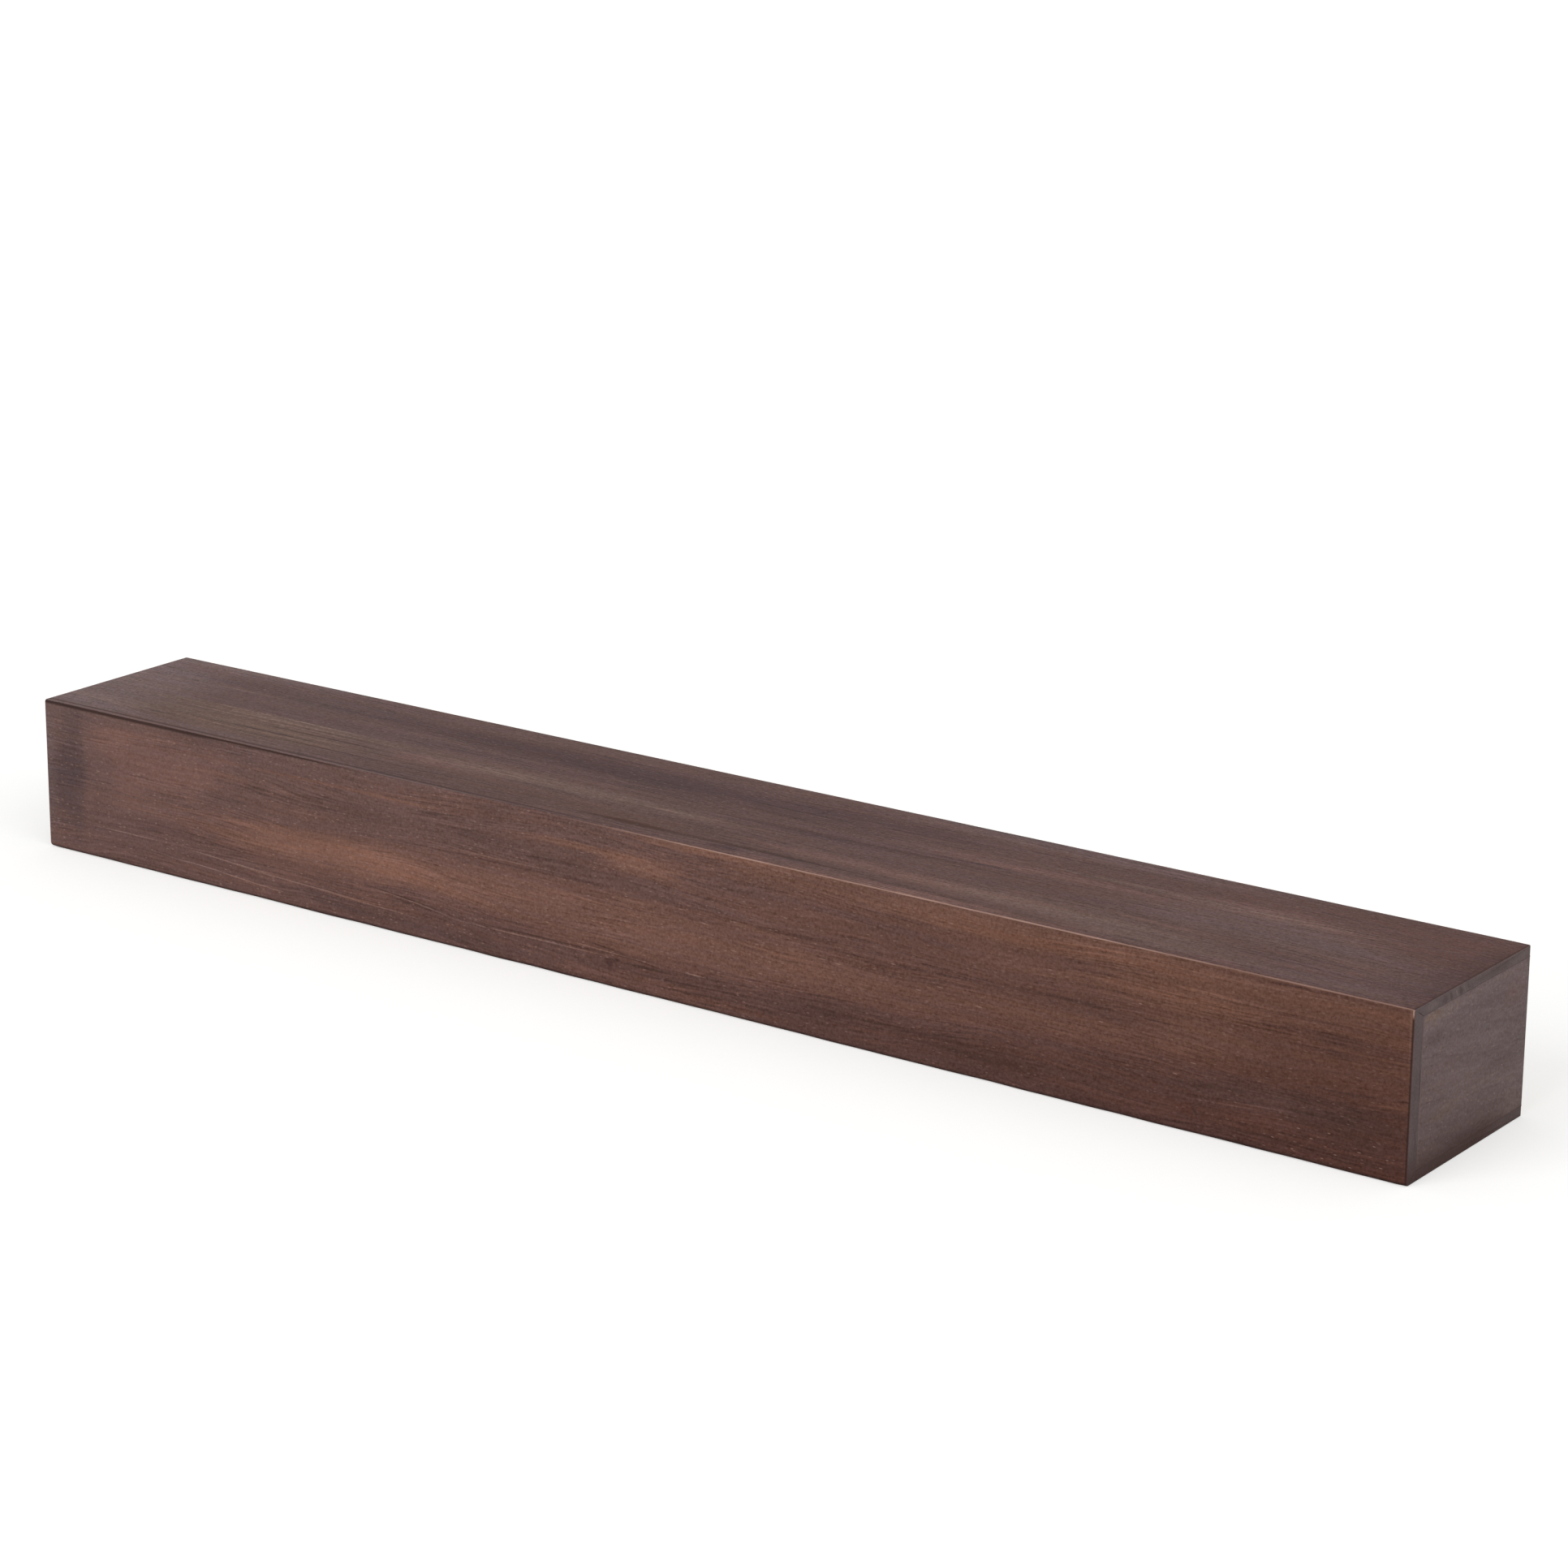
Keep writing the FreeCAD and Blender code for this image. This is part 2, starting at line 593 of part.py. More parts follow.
def make_screws(cleat_screw, block_screw):
    """Through the cleat and the rail into ribs and posts, and through the posts into the ends."""
    forward = Rotation(ABOUT_X, -90)
    sunk = "-Sizes.screw_head_sink"
    cleat_height = f"({HOOK_TIP} + {CLEAT_SCREW_HEIGHT})"
    rail_height = f"({FLOOR} + {RAIL_SCREW_HEIGHT})"
    in_cleat = [(x, sunk, cleat_height, forward) for x in CLEAT_SCREW_PLACES]
    in_rail = [(x, sunk, rail_height, forward) for x in CLEAT_SCREW_PLACES]
    groups = [copies("hanging_cleat_screws", cleat_screw, in_cleat)]
    groups.append(copies("lower_rail_screws", cleat_screw, in_rail))
    post_middle = "-(Sizes.cleat_thickness + Sizes.corner_block_side / 2)"
    heads = f"({INNER_HALF} - Sizes.corner_block_side + Sizes.screw_head_sink)"
    for side, sign in SIDES.items():
        outward = Rotation(ABOUT_Y, -90 * sign)
        x = f"{sign} * {heads}"
        places = [(x, post_middle, f"({FLOOR} + {height})", outward) for height in BLOCK_SCREW_HEIGHTS]
        groups.append(copies(f"corner_block_screws_{side}", block_screw, places))
    return groups


# ---------------------------------------------------------------- the whole shelf


def make_shelf():
    pieces = [make_top_board(), make_bottom_board(), make_front_board()]
    pieces += [make_end_panel(side) for side in SIDES]
    pieces += [make_hanging_cleat(), make_wall_cleat(), make_lower_back_rail()]
    pieces += [make_rib(label, x) for label, x in zip(RIBS, RIB_PLACES)]
    pieces += [make_corner_block(side) for side in SIDES]
    pieces += make_glue_blocks(make_glue_block())
    pieces += make_dowels(make_dowel())
    cleat_screw = make_screw("cleat_screw", CLEAT_SCREW_LENGTH)
    block_screw = make_screw("block_screw", BLOCK_SCREW_LENGTH)
    pieces += make_screws(cleat_screw, block_screw)
    doc.recompute()
    return pieces


def check_document(pieces):
    """Stops before anything is written if a feature failed or a shape is bad."""
    failed = [item.Name for item in doc.Objects if {"Invalid", "Error"} & set(item.State)]
    if failed:
        raise RuntimeError(f"failed features: {failed}")
    for piece in pieces:
        shape = piece.Shape
        if shape.isNull() or not shape.isValid() or not shape.Solids:
            raise RuntimeError(f"{piece.Label} has a bad shape")


def write_steps(pieces):
    os.makedirs("parts", exist_ok=True)
    for piece in pieces:
        piece.Shape.exportStep(f"parts/{piece.Label}.step")
        box = piece.Shape.BoundBox
        low = f"{box.XMin:.1f} {box.YMin:.1f} {box.ZMin:.1f}"
        high = f"{box.XMax:.1f} {box.YMax:.1f} {box.ZMax:.1f}"
        print(f"{piece.Label}: {len(piece.Shape.Solids)} solids, {low} to {high}")


shelf = make_shelf()
check_document(shelf)
write_steps(shelf)
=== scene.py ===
"""Looks of the floating wall shelf: a hollow beam of stained boards that hangs on a bevelled cleat.

Lengths are metres in the part's own frame: X along the wall, Y into the wall, Z up. Whatever lies on a
face or in its grain is in millimetres, as it would be read off with a rule.
"""

import math
from typing import NamedTuple

import bmesh
import bpy
from mathutils import Matrix, Vector, noise


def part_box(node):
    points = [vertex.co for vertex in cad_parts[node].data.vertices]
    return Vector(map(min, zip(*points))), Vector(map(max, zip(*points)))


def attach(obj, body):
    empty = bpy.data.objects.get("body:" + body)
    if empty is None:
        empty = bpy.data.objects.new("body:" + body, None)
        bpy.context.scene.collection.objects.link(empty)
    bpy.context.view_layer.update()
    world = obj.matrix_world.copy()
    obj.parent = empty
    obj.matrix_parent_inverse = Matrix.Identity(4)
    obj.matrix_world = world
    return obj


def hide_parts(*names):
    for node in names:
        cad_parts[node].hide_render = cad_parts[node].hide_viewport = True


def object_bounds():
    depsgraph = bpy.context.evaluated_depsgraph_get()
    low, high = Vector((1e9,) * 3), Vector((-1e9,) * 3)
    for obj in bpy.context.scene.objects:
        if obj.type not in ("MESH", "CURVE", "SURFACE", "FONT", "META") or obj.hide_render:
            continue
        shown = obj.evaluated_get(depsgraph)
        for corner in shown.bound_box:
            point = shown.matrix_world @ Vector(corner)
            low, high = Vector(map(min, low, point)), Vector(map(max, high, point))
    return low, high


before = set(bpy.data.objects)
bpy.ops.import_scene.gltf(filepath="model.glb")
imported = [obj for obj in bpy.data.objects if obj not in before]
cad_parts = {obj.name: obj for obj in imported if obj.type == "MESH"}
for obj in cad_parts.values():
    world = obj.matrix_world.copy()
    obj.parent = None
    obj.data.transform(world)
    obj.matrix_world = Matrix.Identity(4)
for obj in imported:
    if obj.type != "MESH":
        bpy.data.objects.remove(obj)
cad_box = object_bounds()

MM = 0.001
LOW, HIGH = cad_box
LENGTH_MM = (HIGH.x - LOW.x) / MM
DEPTH_MM = (HIGH.y - LOW.y) / MM
HEIGHT_MM = (HIGH.z - LOW.z) / MM


# -------------------------------------- colour

def tone(red, green, blue):
    """A colour as it looks on screen, 0 to 255, in the linear values that shaders take."""

    def linear(channel):
        share = channel / 255
        return share / 12.92 if share <= 0.04045 else ((share + 0.055) / 1.055) ** 2.4

    return (linear(red), linear(green), linear(blue), 1.0)


TONES = {
    "haze": tone(106, 90, 90),
    "dusk": tone(76, 62, 63),
    "rose": tone(120, 88, 80),
    "glow": tone(136, 97, 82),
    "tan": tone(122, 85, 69),
    "cool": tone(88, 66, 62),
    "plum": tone(66, 45, 45),
    "umber": tone(66, 45, 40),
    "ink": tone(50, 35, 32),
    "ember": tone(60, 32, 24),
    "dust": tone(122, 98, 90),
    # A pale grey that is painted sheen on the top, and a painted highlight on its front arris.
    "painted_sheen": tone(122, 102, 100),
    "khaki": tone(124, 100, 84),
    "ash": tone(126, 109, 104),
    "pale": tone(168, 136, 124),
    "wine": tone(84, 50, 44),
}


# -------------------------- marks in the stain, and painted sheen, highlight and shade
# A mark is (tone, along, across, half length, half height, tilt in degrees, strength).
# The tilt rises to the right. On the front, along runs from the left end and across runs down from the top.

FRONT_MARKS = (
    # The first six marks are painted shade: a greyer, darker band at the left end, where the satin front
    # gives back less light.
    ("haze", 5, 66, 15, 90, 0, 0.44),
    ("dusk", 10, 88, 20, 50, 0, 0.34),
    ("dusk", 24, 78, 20, 56, 0, 0.44),
    ("dusk", 35, 64, 25, 92, 0, 0.46),
    ("dusk", 43, 72, 14, 84, 0, 0.26),
    ("dusk", 38, 94, 22, 32, 0, 0.20),
    ("rose", 155, 40, 130, 42, 0, 0.66),
    ("rose", 92, 26, 40, 26, 0, 0.45),
    ("rose", 112, 62, 34, 26, 0, 0.40),
    ("rose", 232, 20, 34, 14, 0, 0.35),
    ("plum", 150, 105, 80, 10, -1, 0.24),
    ("tan", 380, 21.5, 180, 2.4, 0, 0.40),
    ("cool", 206, 7, 70, 8, 0, 0.40),
    ("glow", 640, 90, 700, 38, 0, 0.35),
    ("glow", 290, 90, 110, 20, 0, 0.34),
    ("glow", 420, 88, 190, 22, -1, 0.48),
    ("glow", 455, 84, 95, 13, -1, 0.34),
    ("glow", 470, 97, 46, 6, 0, 0.30),
    ("tan", 725, 83, 60, 11, 0, 0.08),
    ("tan", 905, 82, 70, 10, 0, 0.32),
    ("cool", 378, 43, 76, 15, -1, 0.38),
    ("cool", 276, 47, 34, 10, 0, 0.10),
    ("cool", 500, 25, 16, 5, 0, 0.55),
    ("cool", 566, 14, 22, 14, 0, 0.40),
    ("cool", 670, 4, 46, 6, 0, 0.40),
    ("cool", 560, 37, 70, 9, -1, 0.45),
    ("cool", 632, 42, 60, 8, -1, 0.50),
    ("cool", 300, 110, 120, 7, -1, 0.20),
    ("glow", 680, 24, 86, 5, 0, 0.36),
    ("glow", 748, 31, 66, 13, 0, 0.36),
    ("glow", 750, 26, 80, 13, 0, 0.26),
    ("cool", 655, 41, 28, 7, 0, 0.35),
    ("tan", 1150, 12, 380, 14, 0, 0.46),
    ("glow", 860, 2, 150, 9, 0, 0.42),
    ("umber", 1430, 3.5, 130, 2.2, 0, 0.34),
    ("tan", 1180, 40, 120, 12, 0, 0.20),
    ("tan", 1180, 79, 140, 17, 0, 0.22),
    ("tan", 1300, 34, 112, 18, 0, 0.36),
    ("tan", 1335, 68, 90, 24, 0, 0.22),
    ("tan", 440, 130, 90, 16, 0, 0.22),
    ("tan", 760, 143, 190, 12, 0, 0.24),
    ("glow", 1350, 26.5, 66, 2.2, -1, 0.42),
    ("glow", 1320, 9.5, 190, 2.4, 0, 0.34),
    ("umber", 1470, 44, 80, 22, 0, 0.30),
    ("umber", 596, 58.5, 100, 1.6, 0, 0.42),
    ("pale", 596, 54.6, 100, 1.0, 0, 0.22),
    ("umber", 684, 58, 36, 2.4, 0, 0.45),
    ("umber", 912, 61.5, 60, 2.8, 0, 0.50),
    ("umber", 820, 68, 40, 2.0, 0, 0.30),
    ("umber", 1180, 61, 120, 2.6, 0, 0.32),
    ("ink", 1212, 61, 50, 1.9, 0, 0.26),
    ("umber", 1292, 61, 26, 1.7, 0, 0.40),
    ("cool", 1220, 66, 190, 11, 0, 0.14),
    ("pale", 104, 118.5, 56, 0.9, 0, 0.30),
    ("pale", 238, 122.5, 74, 0.9, -2, 0.42),
    ("pale", 330, 127, 110, 0.9, -2, 0.30),
    ("pale", 420, 131, 90, 0.8, -2, 0.26),
    ("pale", 240, 136, 100, 0.9, -3, 0.36),
    ("umber", 240, 130, 120, 1.8, -2, 0.30),
    ("dusk", 392, 137, 150, 9, -1, 0.30),
    ("umber", 458, 115.5, 64, 1.4, -5, 0.62),
    ("umber", 474, 120, 60, 1.4, -4, 0.50),
    ("pale", 470, 117.5, 56, 0.9, -5, 0.34),
    ("umber", 640, 120.8, 150, 1.3, 0, 0.60),
    ("pale", 612, 123.4, 118, 0.9, 0, 0.32),
    ("pale", 716, 119.4, 60, 0.9, -2, 0.36),
    ("umber", 600, 113, 80, 1.6, -1, 0.35),
    ("umber", 706, 115.6, 44, 1.5, -6, 0.60),
    ("umber", 740, 120.6, 42, 1.5, -5, 0.50),
    ("plum", 711, 129, 11, 9, 0, 0.55),
    ("rose", 714, 131, 4.5, 3.2, 0, 0.40),
    ("ink", 718, 124.6, 5, 1.7, -6, 0.55),
    ("ink", 752, 125.6, 40, 2.1, 2, 0.55),
    ("umber", 784, 131.5, 46, 1.4, 3, 0.45),
    ("pale", 806, 120, 14, 1.1, 0, 0.42),
    ("dusk", 560, 141, 120, 8, 0, 0.26),
    ("ink", 950, 124.5, 32, 3.6, -2, 0.32),
    ("umber", 945, 111.5, 76, 1.5, 3, 0.50),
    ("umber", 938, 117, 60, 1.3, 4, 0.38),
    ("umber", 1060, 123, 110, 3.0, 0, 0.42),
    ("umber", 1108, 131, 108, 5.0, -2, 0.52),
    ("umber", 1060, 126, 260, 18, 0, 0.16),
    ("dusk", 1400, 108, 150, 14, 0, 0.26),
    ("umber", 1346, 106, 60, 3.4, 4, 0.45),
    ("umber", 1350, 115.6, 76, 1.4, 4, 0.48),
    ("rose", 1350, 119, 60, 1.3, 4, 0.34),
    ("rose", 1392, 113.5, 46, 1.1, 3, 0.28),
    ("umber", 1330, 126, 60, 2.0, 3, 0.34),
    ("ink", 1326, 131, 2.2, 8, 20, 0.42),
    ("wine", 1316, 131, 10, 8, 0, 0.30),
    ("umber", 1470, 110, 76, 38, 0, 0.36),
)
# Each fleck is (along, across, half length).
FRONT_FLECKS = (
    (42, 38, 3.2), (70, 62, 3.8), (118, 57, 2.6), (265, 62, 2.8), (124, 101, 3.6), (290, 32, 2.4),
    (365, 33, 2.8), (448, 57, 2.6), (604, 13, 3.0), (678, 30, 3.4), (790, 62, 2.8), (816, 70, 6.0),
    (850, 62, 2.6), (849, 89, 5.0), (946, 77, 6.5), (962, 78, 5.0), (1070, 77, 4.6), (1048, 84, 4.0),
    (1110, 86, 4.6), (1080, 17, 3.0), (1232, 73, 3.0), (1322, 90, 4.2), (1306, 103, 3.0),
    (1436, 130, 2.4), (1458, 139, 2.2), (1480, 132, 2.6), (1500, 141, 2.2), (1446, 145, 2.0),
    (1472, 147, 2.0), (1506, 133, 1.9), (1424, 124, 2.2), (1452, 122, 2.0), (1494, 124, 2.0),
    (1400, 137, 1.9), (1418, 143, 1.8), (560, 84, 2.6), (330, 96, 2.4), (1180, 38, 2.6), (1270, 49, 2.6),
    (905, 47, 2.8), (1020, 66, 3.6), (728, 62, 2.4), (690, 93, 2.8), (878, 104, 3.0),
)

# On the top, across runs from the back edge to the front edge. Its pale grey marks are painted sheen,
# strongest at the left end.
TOP_MARKS = (
    ("painted_sheen", 0, 100, 150, 170, 0, 0.74),
    ("painted_sheen", 30, 6, 260, 20, 0, 0.60),
    ("painted_sheen", 1100, 10, 300, 22, 0, 0.30),
    ("rose", 52, 20, 44, 14, 0, 0.36),
    ("khaki", 210, 152, 230, 44, 0, 0.30),
    ("plum", 560, 50, 440, 34, 0, 0.56),
    ("plum", 150, 44, 90, 14, 0, 0.30),
    ("dusk", 245, 48, 150, 32, 0, 0.22),
    ("plum", 640, 62, 360, 28, -1, 0.36),
    ("plum", 420, 92, 380, 12, 0, 0.20),
    ("plum", 885, 42, 120, 30, 0, 0.36),
    ("plum", 960, 46, 80, 26, 0, 0.22),
    ("umber", 740, 86, 300, 34, 0, 0.13),
    ("umber", 770, 172, 150, 34, 0, 0.13),
    ("umber", 658, 60, 40, 2.2, 0, 0.50),
    ("umber", 795, 60, 76, 2.4, 0, 0.50),
    ("pale", 140, 61, 52, 1.6, 0, 0.32),
    ("khaki", 250, 119, 290, 12, 0, 0.38),
    ("pale", 250, 113, 180, 1.7, 0, 0.36),
    ("pale", 266, 122, 180, 1.5, 0, 0.34),
    ("pale", 230, 130, 170, 1.5, 0, 0.32),
    ("umber", 300, 126, 120, 1.6, 0, 0.34),
    ("umber", 325, 140, 120, 2.6, 0, 0.82),
    ("khaki", 250, 149, 170, 3.4, 0, 0.34),
    ("umber", 250, 157, 140, 2.6, 0, 0.78),
    ("khaki", 270, 163, 150, 2.6, 0, 0.28),
    ("umber", 350, 168, 160, 2.4, 0, 0.60),
    ("rose", 468, 138, 110, 24, 0, 0.62),
    ("dust", 600, 129, 250, 20, 0, 0.62),
    ("dust", 534, 130, 50, 10, 0, 0.40),
    ("dust", 742, 130, 40, 7, 0, 0.50),
    ("umber", 560, 142, 90, 2.2, 0, 0.40),
    ("rose", 610, 153, 170, 9, 0, 0.40),
    ("plum", 880, 108, 150, 10, 0, 0.50),
    ("umber", 820, 180, 230, 5.0, 0, 0.80),
    ("ember", 716, 180, 74, 7.5, 0, 0.95),
    ("ink", 905, 181, 56, 3.0, 0, 0.45),
    ("plum", 826, 190, 26, 12, 0, 0.75),
    ("umber", 470, 188, 240, 10, 0, 0.14),
    ("painted_sheen", 200, 190, 220, 10, 0, 0.28),
    ("painted_sheen", 40, 176, 110, 34, 0, 0.52),
    ("tan", 640, 165, 330, 44, 0, 0.12),
    ("umber", 640, 165, 330, 44, 0, 0.20),
    ("umber", 1005, 105, 160, 4.0, 0, 0.58),
    ("umber", 1220, 105, 40, 3.6, 0, 0.55),
    ("rose", 940, 159, 140, 16, 0, 0.62),
    ("dust", 1235, 63, 240, 5.0, 0, 0.56),
    ("dust", 1295, 63, 50, 3.0, 0, 0.56),
    ("rose", 1320, 62, 150, 20, 0, 0.66),
    ("dust", 1310, 66, 130, 16, 0, 0.30),
    ("painted_sheen", 1330, 104, 190, 44, 0, 0.34),
    ("rose", 1120, 80, 230, 16, 0, 0.50),
    ("rose", 1090, 162, 230, 20, 0, 0.70),
    ("dust", 1150, 162, 200, 16, 0, 0.44),
    ("dust", 1268, 180, 150, 22, 0, 0.40),
    ("dust", 1200, 158, 230, 44, 0, 0.22),
    ("dust", 1085, 161, 52, 3.2, 0, 0.66),
    ("dust", 1230, 161, 130, 3.0, 0, 0.50),
    ("umber", 1230, 169, 120, 2.0, 0, 0.30),
    ("umber", 1070, 188, 26, 3.6, 0, 0.60),
    ("umber", 1250, 188, 24, 3.4, 0, 0.55),
    ("umber", 1160, 188, 60, 2.2, 0, 0.34),
    ("rose", 1010, 197, 260, 9, 0, 0.90),
    ("painted_sheen", 1440, 136, 130, 60, 0, 0.13),
    ("plum", 1518, 100, 30, 130, 0, 0.40),
    ("dusk", 1500, 148, 56, 34, 0, 0.30),
    ("painted_sheen", 1440, 188, 110, 20, 0, 0.24),
)
TOP_FLECKS = (
    (1100, 36, 4.0), (1156, 42, 3.4), (1210, 30, 3.0), (1262, 54, 4.0), (1318, 28, 3.2), (1370, 47, 5.0),
    (1402, 76, 3.0), (1290, 92, 2.8), (1350, 120, 3.6), (1180, 78, 3.0), (1416, 136, 3.0), (905, 40, 3.4),
    (735, 88, 3.0), (610, 34, 3.0), (480, 96, 3.0), (215, 84, 4.0), (90, 70, 4.0), (150, 46, 3.0),
)

# On an end, along runs from the front edge to the back edge and across runs down from the top.
END_MARKS = (
    ("ash", 52, 17, 46, 9, 1, 0.70),
    ("khaki", 36, 15, 22, 5, 2, 0.50),
    ("ash", 118, 16, 84, 6, 1, 0.42),
    ("dusk", 36, 35, 22, 9, 0, 0.30),
    ("cool", 150, 32, 60, 8, -5, 0.20),
    ("rose", 178, 34, 26, 16, 0, 0.22),
    ("ash", 150, 62, 52, 5, -4, 0.16),
    ("cool", 66, 62, 44, 7, -4, 0.16),
    ("ash", 182, 47, 26, 1.3, -2, 0.50),
    ("ash", 84, 77, 18, 1.2, -5, 0.42),
    ("ash", 106, 82, 20, 1.2, -3, 0.40),
    ("ash", 164, 81, 40, 1.3, -1, 0.46),
    ("ash", 136, 98, 46, 1.4, 1, 0.44),
    ("ash", 78, 88, 60, 4, -5, 0.14),
    ("cool", 150, 90, 40, 7, 0, 0.20),
    ("khaki", 60, 104, 40, 9, 0, 0.18),
    ("ash", 26, 119, 7, 1.2, -24, 0.30),
    ("ash", 182, 126, 26, 20, 0, 0.30),
)

# Growth rings that cross the top board's end, and stain that gathered along the front board's joint.
END_GRAIN_MARKS = (
    ("ash", 30, 5, 18, 5, 0, 0.34),
    ("plum", 52, 5, 8, 6, 0, 0.30),
    ("plum", 62, 5, 6, 3.4, -62, 0.46),
    ("ash", 72.5, 5.5, 6, 1.3, -57, 0.60),
    ("plum", 79, 5, 6, 4.0, -57, 0.46),
    ("ash", 86, 5, 6, 1.2, -54, 0.52),
    ("plum", 93, 5, 6, 2.6, -50, 0.18),
    ("ash", 101, 5, 6, 1.0, -44, 0.22),
    ("umber", 146, 5, 42, 6, 0, 0.34),
    ("umber", 13.4, 62, 1.5, 44, 0, 0.34),
    ("umber", 12.6, 116, 1.5, 16, 0, 0.40),
    ("dusk", 6, 60, 8, 40, 0, 0.18),
    ("ash", 112, 149, 112, 10, 0, 0.17),
)

# The underside has a few of the top's marks.
BOTTOM_MARKS = TOP_MARKS[4:14]
BOTTOM_FLECKS = TOP_FLECKS[:6]


# ----------------------------- grain and stain
# A size of a pattern is (along the grain, across it, into the board). A name that ends in _FADE holds what
# Nodes.ramp takes after its value: start, end and, where they aren't 0 and 1, the values there.

# Each layer of grain: length, width, detail, share of the brightness, share of the relief, and its kind.
LONG_GRAIN = (
    (190, 2.4, 3.0, 0.85, 0.0, "broad"),
    (30, 1.8, 2.0, 0.70, 0.6, "broad"),
    (9.0, 2.4, 1.0, 0.50, 0.0, "fibre"),
    (2.5, 2.5, 1.0, 0.90, 0.4, "speck"),
)
PANEL_GRAIN = (
    (60, 4.2, 3.0, 0.40, 0.0, "broad"),
    (14, 1.8, 2.0, 0.26, 0.6, "broad"),
    (6.5, 3.2, 1.0, 0.42, 0.0, "fibre"),
    (2.3, 2.3, 1.0, 0.76, 0.4, "speck"),
)

# How a face lies, and the length and height of a face that lies so.
PLANES = {
    "front": (LENGTH_MM, HEIGHT_MM),
    "level": (LENGTH_MM, DEPTH_MM),
    "end": (DEPTH_MM, HEIGHT_MM),
}


class Face(NamedTuple):
    """How a stained face is laid out and grained."""

    plane: str  # one of PLANES
    corners: tuple  # tones at the left top, right top, left bottom and right bottom, 0 to 255
    shift: float  # how far its noise is moved, so that no two faces look alike
    tilt: float = 0.0  # how far the grain rises to the right, in degrees
    layers: tuple = LONG_GRAIN
    strength: float = 1.0  # of the grain
    fine_share: tuple = (1.0, 1.0)  # of the fine grain, at the left end and past FINE_GRAIN_FADE
    drift: float = 0.05  # how far the tone drifts between a warmer and a colder brown


FACES = {
    "front": Face(
        plane="front",
        corners=((106, 83, 79), (100, 69, 58), (105, 79, 74), (76, 49, 43)),
        shift=0.0,
        fine_share=(0.68, 1.10),
    ),
    "top": Face(
        plane="level",
        corners=((102, 78, 75), (95, 67, 62), (99, 75, 71), (95, 68, 64)),
        shift=410.0,
        strength=1.3,
        fine_share=(1.25, 1.25),
    ),
    "bottom": Face(
        plane="level",
        corners=((88, 68, 64), (84, 63, 58), (92, 70, 65), (86, 64, 59)),
        shift=930.0,
    ),
    # The end's corners hold a painted sheen, greyer than the stain, and painted shade, darker at the bottom
    # than at the top.
    "end": Face(
        plane="end",
        corners=((116, 99, 98), (114, 98, 98), (103, 86, 84), (110, 94, 91)),
        shift=1500.0,
        tilt=-9.0,
        layers=PANEL_GRAIN,
        drift=0.02,
    ),
    # The end grain's corners likewise hold a painted sheen and painted shade, darker at the bottom.
    "end_grain": Face(
        plane="end",
        corners=((101, 88, 88), (106, 91, 89), (96, 83, 82), (94, 79, 77)),
        shift=2100.0,
        tilt=-9.0,
    ),
}

SATIN = {"Specular IOR Level": 0.06, "IOR": 1.45}
SATIN_ROUGHNESS_FADE = (-0.15, 0.15, 0.50, 0.62)
GRAIN_RELIEF = 0.00012
GRAIN_ROUGHNESS = 0.6

# The fibres' slow bend, and the turn that takes every direction out of the specks.
BEND_SIZE = (260, 60, 60)
GRAIN_BEND = 34.0
SPECK_AXIS = (0.5, 0.3, 0.8)
SPECK_TURN = 40.0
SPECK_COLOUR = (0.84, 1.06, 1.18)

# Broad tones: blotches all over, and a figure in which the broad grain comes and goes.
FIGURE_SIZE = (150, 26, 26)
FIGURE_FADE = (0.38, 0.62, 0.5, 1.5)
BLOTCH_SIZE = (90, 30, 30)
BLOTCH_SHARE = 0.34

# Where the fine grain's share changes along the face, and how dark grain may make a place.
FINE_GRAIN_FADE = (0, 900)
DARKEST = (0.3, 0.3, 0.3)

# The drift between a yellower and a bluer brown.
STREAK_SIZE = (210, 9, 9)
SPOT_SIZE = (9, 4.5, 4.5)
SPOT_SHARE = 0.5
DRIFT_FADE = (0.53, 0.97)
RED_DRIFT = 0.5

# Marks and flecks: how far the wood's bends shift them, along and across, and how they fade at the rim.
WANDER_SIZE = (160, 34, 34)
MARK_WANDER = (16.0, 5.0)
MARK_RIM = (1.0, 0.25)
RAGGED_SIZE = (70, 2.4, 2.4)
RAGGED_SHARE = 0.9
FLECK_WANDER = (5.0, 1.6)
FLECK_HALF_HEIGHT = 0.7
FLECK_TILT = -1.5
FLECK_FADE = (1.0, 0.3, 0.0, 0.42)
FAR_AWAY = 9.0
CELL_SIZE = (7, 2.3, 2.3)
CELL_CHOICE = (0.62, 0.84)
CELL_FLECK_FADE = (0.34, 0.10)
CELL_STRENGTH_FADE = (700, 1200, 0.36, 0.18)

# The ends of the boards.
PORE_SIZE = (2.6, 2.6, 400)
PORE_SHARE = 0.60
PORE_ROUGHNESS = 0.65
PORE_RELIEF = 0.0001
END_BLOTCH_SIZE = (14, 22, 400)
END_BLOTCH_SHARE = 0.5
END_GRAIN_ROUGHNESS = 0.55

# A fine pale line along the front top arris's right part, and the dark line under the arris's left
# part, whose own width changes along it.
ARRIS_LINE_SIZE = (46, 9, 9)
ARRIS_LINE_FADE = (0.3, 0.6, 0.55, 0.95)
ARRIS_LINE_LEFT_FADE = (620, 840)
ARRIS_LINE_RIGHT_FADE = (1380, 1160, 0.6, 1.0)
ARRIS_LINE_WIDTH_FADE = (1.5, 0.8)
LEFT_LINE_FADE = (450, 330)
LEFT_LINE_WIDTH_FADE = (250, 190, 2.8, 4.6)
LEFT_LINE_SHARE_FADE = (1.0, 0.45, 0.0, 0.88)

